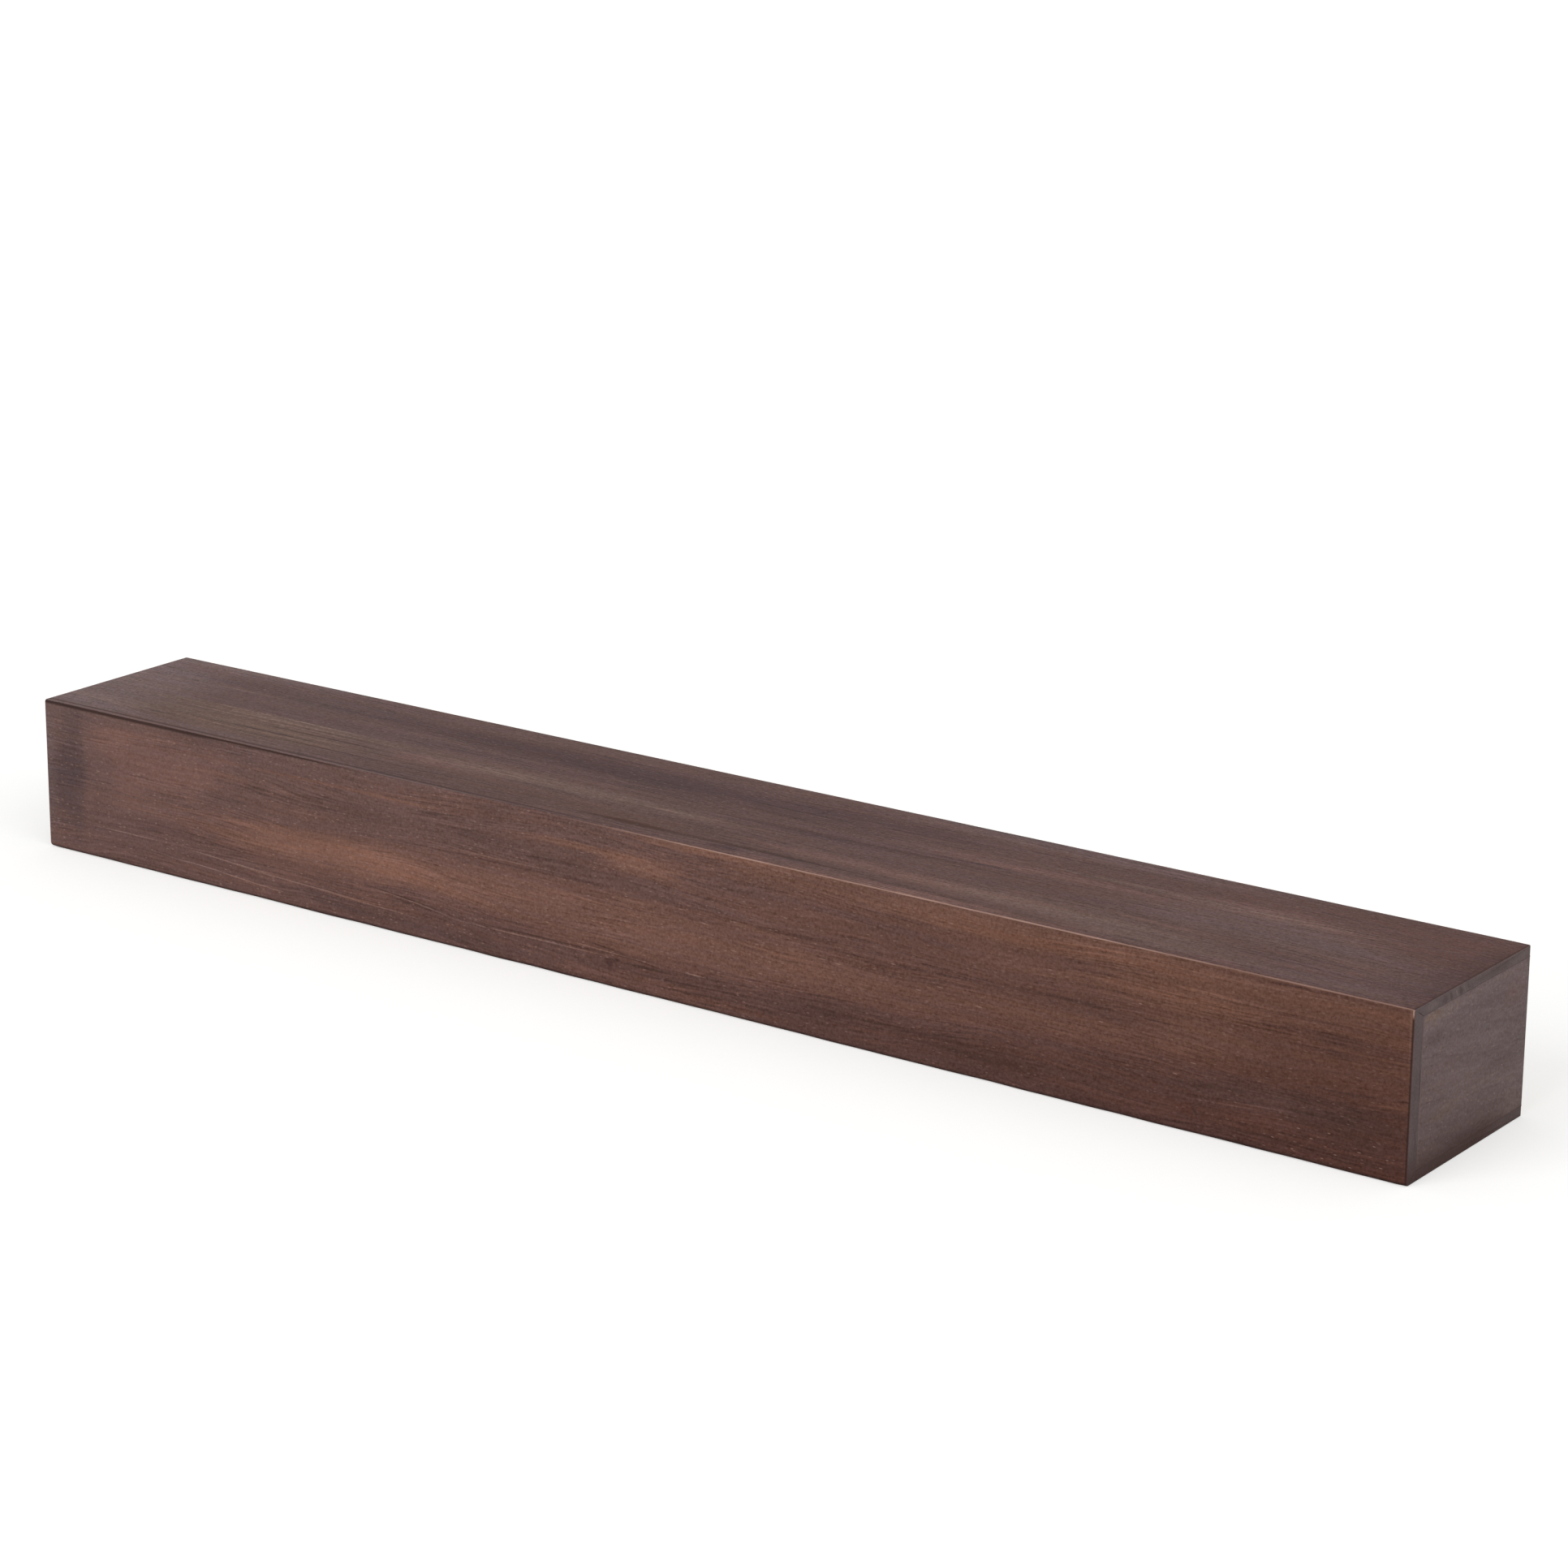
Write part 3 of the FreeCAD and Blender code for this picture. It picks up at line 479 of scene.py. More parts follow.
# A line is (tone, profile, what the profile takes after the distance from the arris or edge, and what
# Nodes.ramp takes after the place along it).
FRONT_RIGHT_LINES = (
    ("pale", "band", (2.9, 1.2), (60, 25, 0.0, 0.12)),
    ("ink", "ramp", (2.1, 1.3), (6, 11, 0.0, 0.80)),
    # The last line is a painted highlight on the rounded top corner.
    ("pale", "ramp", (2.3, 1.2), (9, 4, 0.0, 0.72)),
)
TOP_FRONT_LINES = (
    ("umber", "band", (6.6, 2.6), (760, 640, 0.10, 0.8)),
    # The second line is a painted highlight on the left part of the rounded front arris.
    ("painted_sheen", "band", (2.4, 2.0), (660, 420, 0.0, 0.80)),
)
END_JOINT_LINES = (("ash", "band", (16.8, 1.1), (20, 70, 0.1, 0.4)),)
# Painted shade on the ends: darker towards the bottom, least at the back.
END_PAINTED_SHADE = (("umber", "ramp", (112, 152, 0.0, 0.72), (195, 120, 0.15, 1.0)),)
# Dark arrises that look alike along their whole length. The front's lower one is painted shade on the rounded
# arris that faces down.
FRONT_LOWER_PAINTED_SHADE_FADE = (4.5, 1.5, 0.0, 0.75)
TOP_RIGHT_FADE = (2.8, 1.0, 0.0, 0.6)
END_FRONT_FADE = (1.5, 0.5, 0.0, 0.60)


# -------------------------------- node helpers

class Nodes:
    """Fills a node tree. node gives back the node that it adds, and the others what comes out of theirs."""

    def __init__(self, tree):
        self.tree = tree
        self.tree.nodes.clear()

    def feed(self, socket, value):
        if isinstance(value, bpy.types.NodeSocket):
            self.tree.links.new(value, socket)
        else:
            socket.default_value = value

    def node(self, kind, inputs, **settings):
        new = self.tree.nodes.new(kind)
        for key, value in settings.items():
            setattr(new, key, value)
        for key, value in inputs.items():
            self.feed(new.inputs[key], value)
        return new

    def math(self, operation, first, second=0.0, third=0.0):
        inputs = {0: first, 1: second, 2: third}
        return self.node("ShaderNodeMath", inputs, operation=operation).outputs[0]

    def times(self, first, second):
        return self.math("MULTIPLY", first, second)

    def vector_math(self, operation, first, second=(0, 0, 0), third=(0, 0, 0)):
        inputs = {0: first, 1: second, 2: third}
        return self.node("ShaderNodeVectorMath", inputs, operation=operation).outputs[0]

    def length(self, vector):
        return self.node("ShaderNodeVectorMath", {0: vector}, operation="LENGTH").outputs[1]

    def brighten(self, colour, factor):
        return self.node("ShaderNodeVectorMath", {0: colour, 3: factor}, operation="SCALE").outputs[0]

    def ramp(self, value, start, end, low=0.0, high=1.0):
        """low up to start, high from end on, and a smooth rise between; start may be above end."""
        inputs = {0: value, 1: start, 2: end, 3: low, 4: high}
        return self.node("ShaderNodeMapRange", inputs, interpolation_type="SMOOTHSTEP").outputs[0]

    def band(self, value, middle, half_width):
        """1 at the middle, fading to 0 half a width away."""
        distance = self.math("ABSOLUTE", self.math("SUBTRACT", value, middle))
        return self.ramp(distance, half_width, 0.0)

    def mix(self, factor, first, second):
        inputs = {0: factor, 6: first, 7: second}
        return self.node("ShaderNodeMix", inputs, data_type="RGBA").outputs[2]

    def cover(self, colour, name, share):
        """The colour with a share of a named tone over it."""
        return self.mix(share, colour, TONES[name])

    def stretched(self, place, size):
        """The place in units of a pattern's size, so that the pattern comes out that large."""
        return self.vector_math("MULTIPLY", place, tuple(1 / length for length in size))

    def noise(self, place, size, detail=2.0, roughness=0.5, output="Fac"):
        """Cloudy noise of a size. Its output Fac is one value, and Color is three at once."""
        scaled = self.stretched(place, size)
        inputs = {"Vector": scaled, "Scale": 1.0, "Detail": detail, "Roughness": roughness}
        return self.node("ShaderNodeTexNoise", inputs, noise_dimensions="3D").outputs[output]

    def split(self, vector):
        return self.node("ShaderNodeSeparateXYZ", {0: vector}).outputs

    def join(self, first, second, third):
        return self.node("ShaderNodeCombineXYZ", {0: first, 1: second, 2: third}).outputs[0]


class Paint(Nodes):
    """Builds one material."""

    def __init__(self, name):
        self.material = bpy.data.materials.new(name)
        self.material.use_nodes = True
        super().__init__(self.material.node_tree)

    def object_place(self):
        """The point on the object in millimetres, in the part's frame."""
        metres = self.node("ShaderNodeTexCoord", {}).outputs["Object"]
        return self.vector_math("MULTIPLY", metres, (1 / MM,) * 3)

    def bump(self, height, distance):
        """distance is how deep a step of 1 in height is, in metres."""
        inputs = {"Height": height, "Distance": distance, "Strength": 1.0}
        return self.node("ShaderNodeBump", inputs).outputs[0]

    def finish(self, colour, roughness, normal, shine):
        """Ends the material. shine holds the shader's values that are the same all over."""
        inputs = {"Base Color": colour, "Roughness": roughness, "Normal": normal, **shine}
        shader = self.node("ShaderNodeBsdfPrincipled", inputs)
        self.node("ShaderNodeOutputMaterial", {0: shader.outputs[0]})
        return self.material


class Stain(Paint):
    """Stained wood. place is (along, across, depth) on the face, and sample is where its noise is read."""

    def __init__(self, face):
        super().__init__("stain_" + face)
        self.look = FACES[face]
        x, y, z = self.split(self.object_place())
        from_left = self.math("ADD", x, LENGTH_MM / 2)
        below_top = self.math("SUBTRACT", HIGH.z / MM, z)
        from_front = self.math("SUBTRACT", y, LOW.y / MM)
        from_wall = self.math("MULTIPLY", y, -1.0)
        self.along, self.across, depth = {
            "front": (from_left, below_top, from_front),
            "level": (from_left, from_wall, below_top),
            "end": (from_front, below_top, x),
        }[self.look.plane]
        self.place = self.join(self.along, self.across, depth)
        moved = self.vector_math("ADD", self.place, (self.look.shift,) * 3)
        self.sample = self.turned(moved, self.look.tilt)
        slow = self.noise(self.sample, BEND_SIZE, detail=1.0, output="Color")
        self.fibres = self.vector_math("MULTIPLY_ADD", slow, (0.0, GRAIN_BEND, 0.0), self.sample)
        aslant = {"Vector": self.sample, "Axis": SPECK_AXIS, "Angle": math.radians(SPECK_TURN)}
        self.specks = self.node("ShaderNodeVectorRotate", aslant, rotation_type="AXIS_ANGLE").outputs[0]

    def base(self):
        """The stain's own tone, blended between the face's four corners."""
        left_top, right_top, left_bottom, right_bottom = (tone(*corner) for corner in self.look.corners)
        length, height = PLANES[self.look.plane]
        across_share = self.math("DIVIDE", self.across, height)
        along_share = self.math("DIVIDE", self.along, length)
        left = self.mix(across_share, left_top, left_bottom)
        right = self.mix(across_share, right_top, right_bottom)
        return self.mix(along_share, left, right)

    def wander(self, along, across):
        """The place, shifted by a slow noise, so that marks follow the wood and not a ruler."""
        slow = self.noise(self.sample, WANDER_SIZE, output="Color")
        centred = self.vector_math("SUBTRACT", slow, (0.5, 0.5, 0.5))
        return self.vector_math("MULTIPLY_ADD", centred, (along, across, 0.0), self.place)

    def turned(self, place, tilt):
        """The place in axes turned so that the first one rises to the right by the tilt, in degrees."""
        inputs = {"Vector": place, "Angle": math.radians(tilt)}
        return self.node("ShaderNodeVectorRotate", inputs, rotation_type="Z_AXIS").outputs[0]

    def ellipse(self, turned, along, across, half_length, half_height, tilt):
        """Distance from an ellipse's middle, 1 at its rim. turned is the place in the ellipse's axes."""
        cosine, sine = math.cos(math.radians(tilt)), math.sin(math.radians(tilt))
        middle = (along * cosine - across * sine, along * sine + across * cosine)
        shares = (1 / half_length, 1 / half_height, 0.0)
        start = (-middle[0] / half_length, -middle[1] / half_height, 0.0)
        return self.length(self.vector_math("MULTIPLY_ADD", turned, shares, start))

    def marks(self, colour, marks):
        """Lays the marks over the colour, one after another, with ragged rims."""
        place = self.wander(*MARK_WANDER)
        ragged = self.noise(self.sample, RAGGED_SIZE, detail=3.0, roughness=GRAIN_ROUGHNESS)
        ragged = self.math("MULTIPLY_ADD", ragged, RAGGED_SHARE, -RAGGED_SHARE / 2)
        turned = {tilt: self.turned(place, tilt) for tilt in sorted({mark[5] for mark in marks})}
        for name, *shape, strength in marks:
            distance = self.math("ADD", self.ellipse(turned[shape[-1]], *shape), ragged)
            colour = self.cover(colour, name, self.ramp(distance, *MARK_RIM, 0.0, strength))
        return colour

    def flecks(self, colour, flecks):
        """Pale dashes where the stain did not take, each at a listed place."""
        turned = self.turned(self.wander(*FLECK_WANDER), FLECK_TILT)
        nearest = FAR_AWAY
        for along, across, half_length in flecks:
            distance = self.ellipse(turned, along, across, half_length, FLECK_HALF_HEIGHT, FLECK_TILT)
            nearest = self.math("MINIMUM", nearest, distance)
        return self.cover(colour, "pale", self.ramp(nearest, *FLECK_FADE))

    def small_flecks(self, colour):
        """Many smaller pale dashes: one in each of the cells that are chosen by their random colour."""
        strength = self.ramp(self.along, *CELL_STRENGTH_FADE)
        inputs = {"Vector": self.stretched(self.sample, CELL_SIZE), "Scale": 1.0, "Randomness": 1.0}
        cells = self.node("ShaderNodeTexVoronoi", inputs).outputs
        chosen = self.ramp(self.split(cells["Color"])[0], *CELL_CHOICE, 0.0, strength)
        small = self.ramp(cells["Distance"], *CELL_FLECK_FADE)
        return self.cover(colour, "pale", self.times(chosen, small))

    def lines(self, colour, lines, distance, place):
        """Lays the lines over the colour, by the distance from their edge and the place along it."""
        for name, profile, width, ends in lines:
            across = {"band": self.band, "ramp": self.ramp}[profile](distance, *width)
            colour = self.cover(colour, name, self.times(across, self.ramp(place, *ends)))
        return colour

    def grain(self):
        """(factor for the colour, height), from the face's layers of noise.

        Broad layers come and go over the board. Fine ones move red, green and blue by about as much on
        screen, and the specks among them have no direction.
        """
        figure = self.ramp(self.noise(self.sample, FIGURE_SIZE, detail=1.0), *FIGURE_FADE)
        blotches = self.noise(self.sample, BLOTCH_SIZE, detail=3.0)
        broad = self.math("MULTIPLY_ADD", blotches, BLOTCH_SHARE, 1 - BLOTCH_SHARE / 2)
        fine, height = 0.0, 0.0
        for length, width, detail, share, relief, kind in self.look.layers:
            source = self.specks if kind == "speck" else self.fibres
            value = self.noise(source, (length, width, width), detail, GRAIN_ROUGHNESS)
            value = self.math("SUBTRACT", value, 0.5)
            share *= self.look.strength
            if kind == "broad":
                broad = self.math("MULTIPLY_ADD", self.times(value, figure), share, broad)
            else:
                fine = self.math("MULTIPLY_ADD", value, share, fine)
            if relief:
                height = self.math("MULTIPLY_ADD", value, relief, height)
        fine = self.times(fine, self.ramp(self.along, *FINE_GRAIN_FADE, *self.look.fine_share))
        factor = self.vector_math("MULTIPLY_ADD", fine, SPECK_COLOUR, broad)
        return self.vector_math("MAXIMUM", factor, DARKEST), height

    def tinted(self, colour):
        """The colour, drifting between a yellower and a bluer brown in streaks and in small spots."""
        drift = self.look.drift
        streaks = self.noise(self.fibres, STREAK_SIZE)
        spots = self.noise(self.sample, SPOT_SIZE, detail=1.0)
        where = self.math("MULTIPLY_ADD", spots, SPOT_SHARE, streaks)
        warm = (1 + RED_DRIFT * drift, 1.0, 1 - drift, 1.0)
        cold = (1 - RED_DRIFT * drift, 1.0, 1 + drift, 1.0)
        tint = self.mix(self.ramp(where, *DRIFT_FADE), warm, cold)
        return self.vector_math("MULTIPLY", colour, tint)


# ------------------------------- stained faces

def pale_arris_line(stain, colour, distance):
    """A fine pale line along the front top arris, from the middle of the shelf to the right end."""
    unevenness = stain.noise(stain.sample, ARRIS_LINE_SIZE, detail=3.0)
    line_share = stain.times(stain.ramp(stain.along, *ARRIS_LINE_LEFT_FADE), stain.ramp(unevenness, *ARRIS_LINE_FADE))
    line_share = stain.times(line_share, stain.ramp(stain.along, *ARRIS_LINE_RIGHT_FADE))
    return stain.cover(colour, "pale", stain.times(line_share, stain.ramp(distance, *ARRIS_LINE_WIDTH_FADE)))


def front_edges(stain, colour):
    """A dark line under the top arris's left part, the pale line on its right part, a dark right arris with a
    painted highlight at its top corner, and painted shade on the lower arris.
    """
    width = stain.ramp(stain.along, *LEFT_LINE_WIDTH_FADE)
    dark = stain.ramp(stain.math("DIVIDE", stain.across, width), *LEFT_LINE_SHARE_FADE)
    colour = stain.cover(colour, "ink", stain.times(dark, stain.ramp(stain.along, *LEFT_LINE_FADE)))
    colour = pale_arris_line(stain, colour, stain.across)
    from_right = stain.math("SUBTRACT", LENGTH_MM, stain.along)
    colour = stain.lines(colour, FRONT_RIGHT_LINES, from_right, stain.across)
    from_bottom = stain.math("SUBTRACT", HEIGHT_MM, stain.across)
    # Painted shade along the lower arris.
    return stain.cover(colour, "ink", stain.ramp(from_bottom, *FRONT_LOWER_PAINTED_SHADE_FADE))


def top_edges(stain, colour):
    """A dark line just behind the front arris, a painted highlight on the arris's left part, the pale line on
    its right part, and a dark line along the right end.
    """
    from_front = stain.math("SUBTRACT", DEPTH_MM, stain.across)
    colour = stain.lines(colour, TOP_FRONT_LINES, from_front, stain.along)
    colour = pale_arris_line(stain, colour, from_front)
    from_right = stain.math("SUBTRACT", LENGTH_MM, stain.along)
    return stain.cover(colour, "umber", stain.ramp(from_right, *TOP_RIGHT_FADE))


def end_edges(stain, colour):
    """A fine light joint line where the end panel meets the front board, and painted shade that darkens the
    bottom.
    """
    colour = stain.lines(colour, END_JOINT_LINES, stain.along, stain.across)
    return stain.lines(colour, END_PAINTED_SHADE, stain.across, stain.along)


def plain_edges(stain, colour):
    """The underside's arrises show nothing of their own."""
    return colour


def stained_face(face, marks, flecks, edges):
    """A stained outside face. edges(stain, colour) adds what the arrises show."""
    stain = Stain(face)
    colour = stain.marks(stain.base(), marks)
    factor, height = stain.grain()
    colour = stain.vector_math("MULTIPLY", stain.tinted(colour), factor)
    if flecks:
        colour = stain.flecks(colour, flecks)
    colour = edges(stain, stain.small_flecks(colour))
    roughness = stain.ramp(height, *SATIN_ROUGHNESS_FADE)
    return stain.finish(colour, roughness, stain.bump(height, GRAIN_RELIEF), SATIN)


def stained_end_grain():
    """The boards' ends: bluish grey, partly a painted sheen, darker towards the bottom with painted shade,
    and with the top board's growth rings.
    """
    stain = Stain("end_grain")
    colour = stain.marks(stain.base(), END_GRAIN_MARKS)
    pores = stain.noise(stain.sample, PORE_SIZE, roughness=PORE_ROUGHNESS)
    blotches = stain.noise(stain.sample, END_BLOTCH_SIZE, detail=3.0)
    factor = stain.math("MULTIPLY_ADD", pores, PORE_SHARE, 1 - (PORE_SHARE + END_BLOTCH_SHARE) / 2)
    factor = stain.math("MULTIPLY_ADD", blotches, END_BLOTCH_SHARE, factor)
    # Painted shade, darker towards the bottom.
    colour = stain.lines(stain.brighten(colour, factor), END_PAINTED_SHADE, stain.across, stain.along)
    colour = stain.cover(colour, "wine", stain.ramp(stain.along, *END_FRONT_FADE))
    return stain.finish(colour, END_GRAIN_ROUGHNESS, stain.bump(pores, PORE_RELIEF), SATIN)


# ----------------------- bare timber and metal

# Each timber: tones of the early and the late wood, and the width of a ring.
TIMBERS = {
    "alder": ((206, 172, 138), (182, 140, 106), 5.2),
    "pine": ((232, 201, 158), (204, 148, 98), 4.4),
    "beech": ((214, 176, 134), (190, 148, 106), 2.6),
}
# The tree's middle lies outside the boards: a place plus this is the place from the middle.
PITH_OFFSET = (0, 20, 64)
RING_BEND = 26.0
RING_BEND_SIZE = (240, 46, 46)
# A timber's shift moves its pattern by these shares of itself along the grain and across it.
SHIFT_SHARES = (1.0, 0.7, 0.4)
# The late wood darkens slowly through a ring and ends at once.
LATE_RISE_FADE = (0.35, 0.93)
LATE_END_FADE = (1.0, 0.95)
LATE_SHARE = 0.62
LATE_RELIEF = 0.4
BARE_FIBRE_SIZE = (60, 0.8, 0.8)
BARE_FIBRE_SHARE = 0.26
BARE_PATCH_SIZE = (180, 30, 30)
BARE_PATCH_SHARE = 0.24
BARE_ROUGHNESS_FADE = (0.3, 0.7, 0.62, 0.74)
BARE_RELIEF = 0.0001

# Stain that ran over the outer edge: how far its ragged edge reaches, and how soft it is.
OVERLAP_SIZE = (46, 46, 46)
OVERLAP_REACH = 7.0
OVERLAP_LEAST = -0.8
OVERLAP_FADE = (-0.8, 0.8, 0.0, 0.92)

ZINC_TONES = ((168, 172, 176), (200, 200, 194))
MOTTLE_SIZE = (1.4, 1.4, 1.4)
MOTTLE_FADE = (0.35, 0.65)
ZINC_ROUGHNESS_FADE = (0.3, 0.7, 0.26, 0.42)
ZINC_RELIEF = 0.00004


def bare_wood(name, timber, grain, shift, stained_rim=False):
    """Planed, unfinished wood. grain is the axis the fibres run along; rings show as they would cut."""
    early, late, ring_width = TIMBERS[timber]
    paint = Paint(name)
    point = paint.object_place()
    parts = paint.split(point)
    order = {"x": (0, 1, 2), "y": (1, 0, 2), "z": (2, 0, 1)}[grain]
    place = paint.join(*(parts[index] for index in order))
    sample = paint.vector_math("ADD", place, tuple(shift * share for share in SHIFT_SHARES))
    slow = paint.noise(sample, RING_BEND_SIZE, output="Color")
    bent = paint.vector_math("MULTIPLY_ADD", slow, (0.0, RING_BEND, RING_BEND), sample)
    from_pith = paint.vector_math("MULTIPLY", paint.vector_math("ADD", bent, PITH_OFFSET), (0.0, 1.0, 1.0))
    ring = paint.math("FRACT", paint.math("DIVIDE", paint.length(from_pith), ring_width))
    lateness = paint.times(paint.ramp(ring, *LATE_RISE_FADE), paint.ramp(ring, *LATE_END_FADE))
    fibres = paint.noise(sample, BARE_FIBRE_SIZE, detail=3.0, roughness=GRAIN_ROUGHNESS)
    patches = paint.noise(sample, BARE_PATCH_SIZE)
    colour = paint.mix(paint.times(lateness, LATE_SHARE), tone(*early), tone(*late))
    level = 1 - (BARE_FIBRE_SHARE + BARE_PATCH_SHARE) / 2
    factor = paint.math("MULTIPLY_ADD", fibres, BARE_FIBRE_SHARE, level)
    factor = paint.math("MULTIPLY_ADD", patches, BARE_PATCH_SHARE, factor)
    colour = paint.brighten(colour, factor)
    if stained_rim:
        colour = stain_overlap(paint, point, colour)
    height = paint.math("MULTIPLY_ADD", lateness, LATE_RELIEF, fibres)
    roughness = paint.ramp(fibres, *BARE_ROUGHNESS_FADE)
    return paint.finish(colour, roughness, paint.bump(height, BARE_RELIEF), SATIN)


def stain_overlap(paint, point, colour):
    """Stain that ran over the outer edge onto the bare rim, a few millimetres and unevenly."""
    x, _, z = paint.split(point)
    from_end = paint.math("SUBTRACT", LENGTH_MM / 2, paint.math("ABSOLUTE", x))
    from_top = paint.math("SUBTRACT", HIGH.z / MM, z)
    from_bottom = paint.math("SUBTRACT", z, LOW.z / MM)
    depth = paint.math("MINIMUM", from_end, paint.math("MINIMUM", from_top, from_bottom))
    ragged = paint.noise(point, OVERLAP_SIZE)
    edge = paint.math("MULTIPLY_ADD", ragged, OVERLAP_REACH, OVERLAP_LEAST)
    return paint.cover(colour, "umber", paint.ramp(paint.math("SUBTRACT", edge, depth), *OVERLAP_FADE))


def zinc(name):
    """Zinc-plated steel, faintly mottled."""
    paint = Paint(name)
    mottle = paint.noise(paint.object_place(), MOTTLE_SIZE, detail=3.0)
    colour = paint.mix(paint.ramp(mottle, *MOTTLE_FADE), *(tone(*shade) for shade in ZINC_TONES))
    roughness = paint.ramp(mottle, *ZINC_ROUGHNESS_FADE)
    return paint.finish(colour, roughness, paint.bump(mottle, ZINC_RELIEF), {"Metallic": 1.0})


# ---------------------------------- the boards

ARRIS = 2.0 * MM
LOWER_ARRIS = 3.8 * MM
END_ARRIS = 1.3 * MM
BACK_EDGE = 0.8 * MM
GLUE_EDGE = 0.12 * MM
INNER_BACK_EDGE = GLUE_EDGE * 3
PANEL_FRONT_EDGE = GLUE_EDGE * 1.5

# An arc has this many steps, long sides and the board's length are divided in steps of these lengths, and
# the sections that round an end lie at these shares of its radius.
ARC_STEPS = 5
SIDE_STEP = 0.011
STATION_STEP = 0.009
END_SHARES = (0.0, 0.12, 0.3, 0.6)
SHARP_ANGLE = 40

# An arris's radius varies by a share of itself, over so many noise waves in a metre along and across, and
# is larger near the board's ends. The surface itself waves by a tenth of a millimetre.
RADIUS_SHARE = 0.3
RADIUS_WAVES = (24, 40, 40)
CORNER_SHARE = 0.4
CORNER_REACH = 0.010
WAVE_DEPTH = 0.00012
SURFACE_WAVES = (9, 16, 16)
JOINT_SHARE = 0.16

# How much of a direction lies along another for a side to count as open, or for a face to have a finish.
OPEN_OUTSIDE = 0.05
OPEN_BACK = 0.6
OPEN_PANEL = 0.5
FACES_OUT = 0.2
FACES_END = 0.7
OUTSIDE, END_GRAIN, BARE = range(3)

# Directions across a long board, in the plane of Y and Z.
UP, DOWN, FORWARD = Vector((0, 1)), Vector((0, -1)), Vector((-1, 0))


def waves(place, per_metre):
    """Noise from -1 to 1 at a place, with so many waves in a metre along each axis."""
    return noise.noise(Vector([length * count for length, count in zip(place, per_metre)]))


def add_object(name, data):
    new = bpy.data.objects.new(name, data)
    bpy.context.scene.collection.objects.link(new)
    return new


def to_mesh(name, mesh):
    data = bpy.data.meshes.new(name)
    mesh.to_mesh(data)
    mesh.free()
    return data


def side_normal(start, finish):
    """The outward direction of a side, for corners that run anticlockwise."""
    along = (finish - start).normalized()
    return Vector((along.y, -along.x))


def eased(before, corner, after, radius, shared):
    """The arc that rounds one corner of a section, as (point, outward direction), from side to side.

    Where two boards share a mitred arris, shared is the neighbour's outward direction: both boards are
    rounded by one arc, and each one's share of it ends where the mitre cuts it.
    """
    first, last = side_normal(before, corner), side_normal(corner, after)
    if shared is None:
        middle = corner - (first + last) * (radius / (1 + first.dot(last)))
    else:
        mitre_first = abs(first.dot(shared)) > abs(last.dot(shared))
        own, inner = (last, before) if mitre_first else (first, after)
        outward = own + shared
        inward = (inner - corner).normalized()
        slope = inward.dot(outward)
        cut = inward * (-slope - math.sqrt(slope**2 - 1)) + outward
        first, last = (cut, last) if mitre_first else (first, cut)
        middle = corner - outward * radius
    arc = []
    for step in range(ARC_STEPS + 1):
        outward = first.slerp(last, step / ARC_STEPS).normalized()
        arc.append((middle + outward * radius, outward))
    return arc


def section(corners, station, to_end):
    """A board's outline at a station as (point, outward direction): arrises worn, long sides divided."""
    places = [Vector(corner[:2]) for corner in corners]
    arcs = []
    for index, (_, _, radius, shared) in enumerate(corners):
        place, after = places[index], places[(index + 1) % len(places)]
        unevenness = 1 + RADIUS_SHARE * waves((station, place.x, place.y), RADIUS_WAVES)
        unevenness += CORNER_SHARE * max(0.0, 1 - to_end / CORNER_REACH) ** 2
        arcs.append(eased(places[index - 1], place, after, radius * unevenness, shared))
    outline = []
    for index, arc in enumerate(arcs):
        following = (index + 1) % len(arcs)
        outline += arc
        start, finish = arc[-1][0], arcs[following][0][0]
        parts = max(1, round((places[following] - places[index]).length / SIDE_STEP))
        outward = side_normal(places[index], places[following])
        outline += [(start.lerp(finish, k / parts), outward) for k in range(1, parts)]
    return outline


def board(name, axis, ends, corners, end_radii, shown, materials, slot_of):
    """A board along an axis: its section is drawn at many stations, eased at both ends, and capped.

    corners are (a, b, radius, shared) in the plane across the axis, anticlockwise. shown(side) says
    whether a side that faces that way is open to view; the others meet a neighbour in a fine joint.
    slot_of(normal) gives the material slot of a face that faces that way.
    """
    low, high = ends
    low_radius, high_radius = end_radii
    count = max(2, round((high - low) / STATION_STEP))
    inner = [low + low_radius + (high - high_radius - low - low_radius) * k / count for k in range(count + 1)]
    stations = [low + low_radius * share for share in END_SHARES] + inner
    stations += [high - high_radius * share for share in reversed(END_SHARES)]

    def inset(station):
        for distance, radius in ((station - low, low_radius), (high - station, high_radius)):
            if distance < radius:
                return radius - math.sqrt(radius**2 - (radius - distance) ** 2)
        return 0.0

    mesh = bmesh.new()
    rings = []
    for station in stations:
        ring = []
        for point, outward in section(corners, station, min(station - low, high - station)):
            share = 1.0 if shown(outward) else JOINT_SHARE
            wave = waves((station, point.x, point.y), SURFACE_WAVES)
            sink = inset(station) * share + WAVE_DEPTH * share * (0.5 + 0.5 * wave)
            a, b = point - outward * sink
            place = (station, a, b) if axis == "x" else (a, station, b)
            ring.append(mesh.verts.new(place))
        rings.append(ring)
    for ring, following in zip(rings, rings[1:]):
        for k in range(len(ring)):
            after = (k + 1) % len(ring)
            mesh.faces.new((ring[k], ring[after], following[after], following[k]))
    caps = [mesh.faces.new(list(reversed(rings[0]))), mesh.faces.new(rings[-1])]
    bmesh.ops.recalc_face_normals(mesh, faces=mesh.faces)
    for face in mesh.faces:
        face.smooth = face not in caps
        face.material_index = slot_of(face.normal)
    data = to_mesh(name, mesh)
    data.set_sharp_from_angle(angle=math.radians(SHARP_ANGLE))
    for material in materials:
        data.materials.append(material)
    return add_object(name, data)


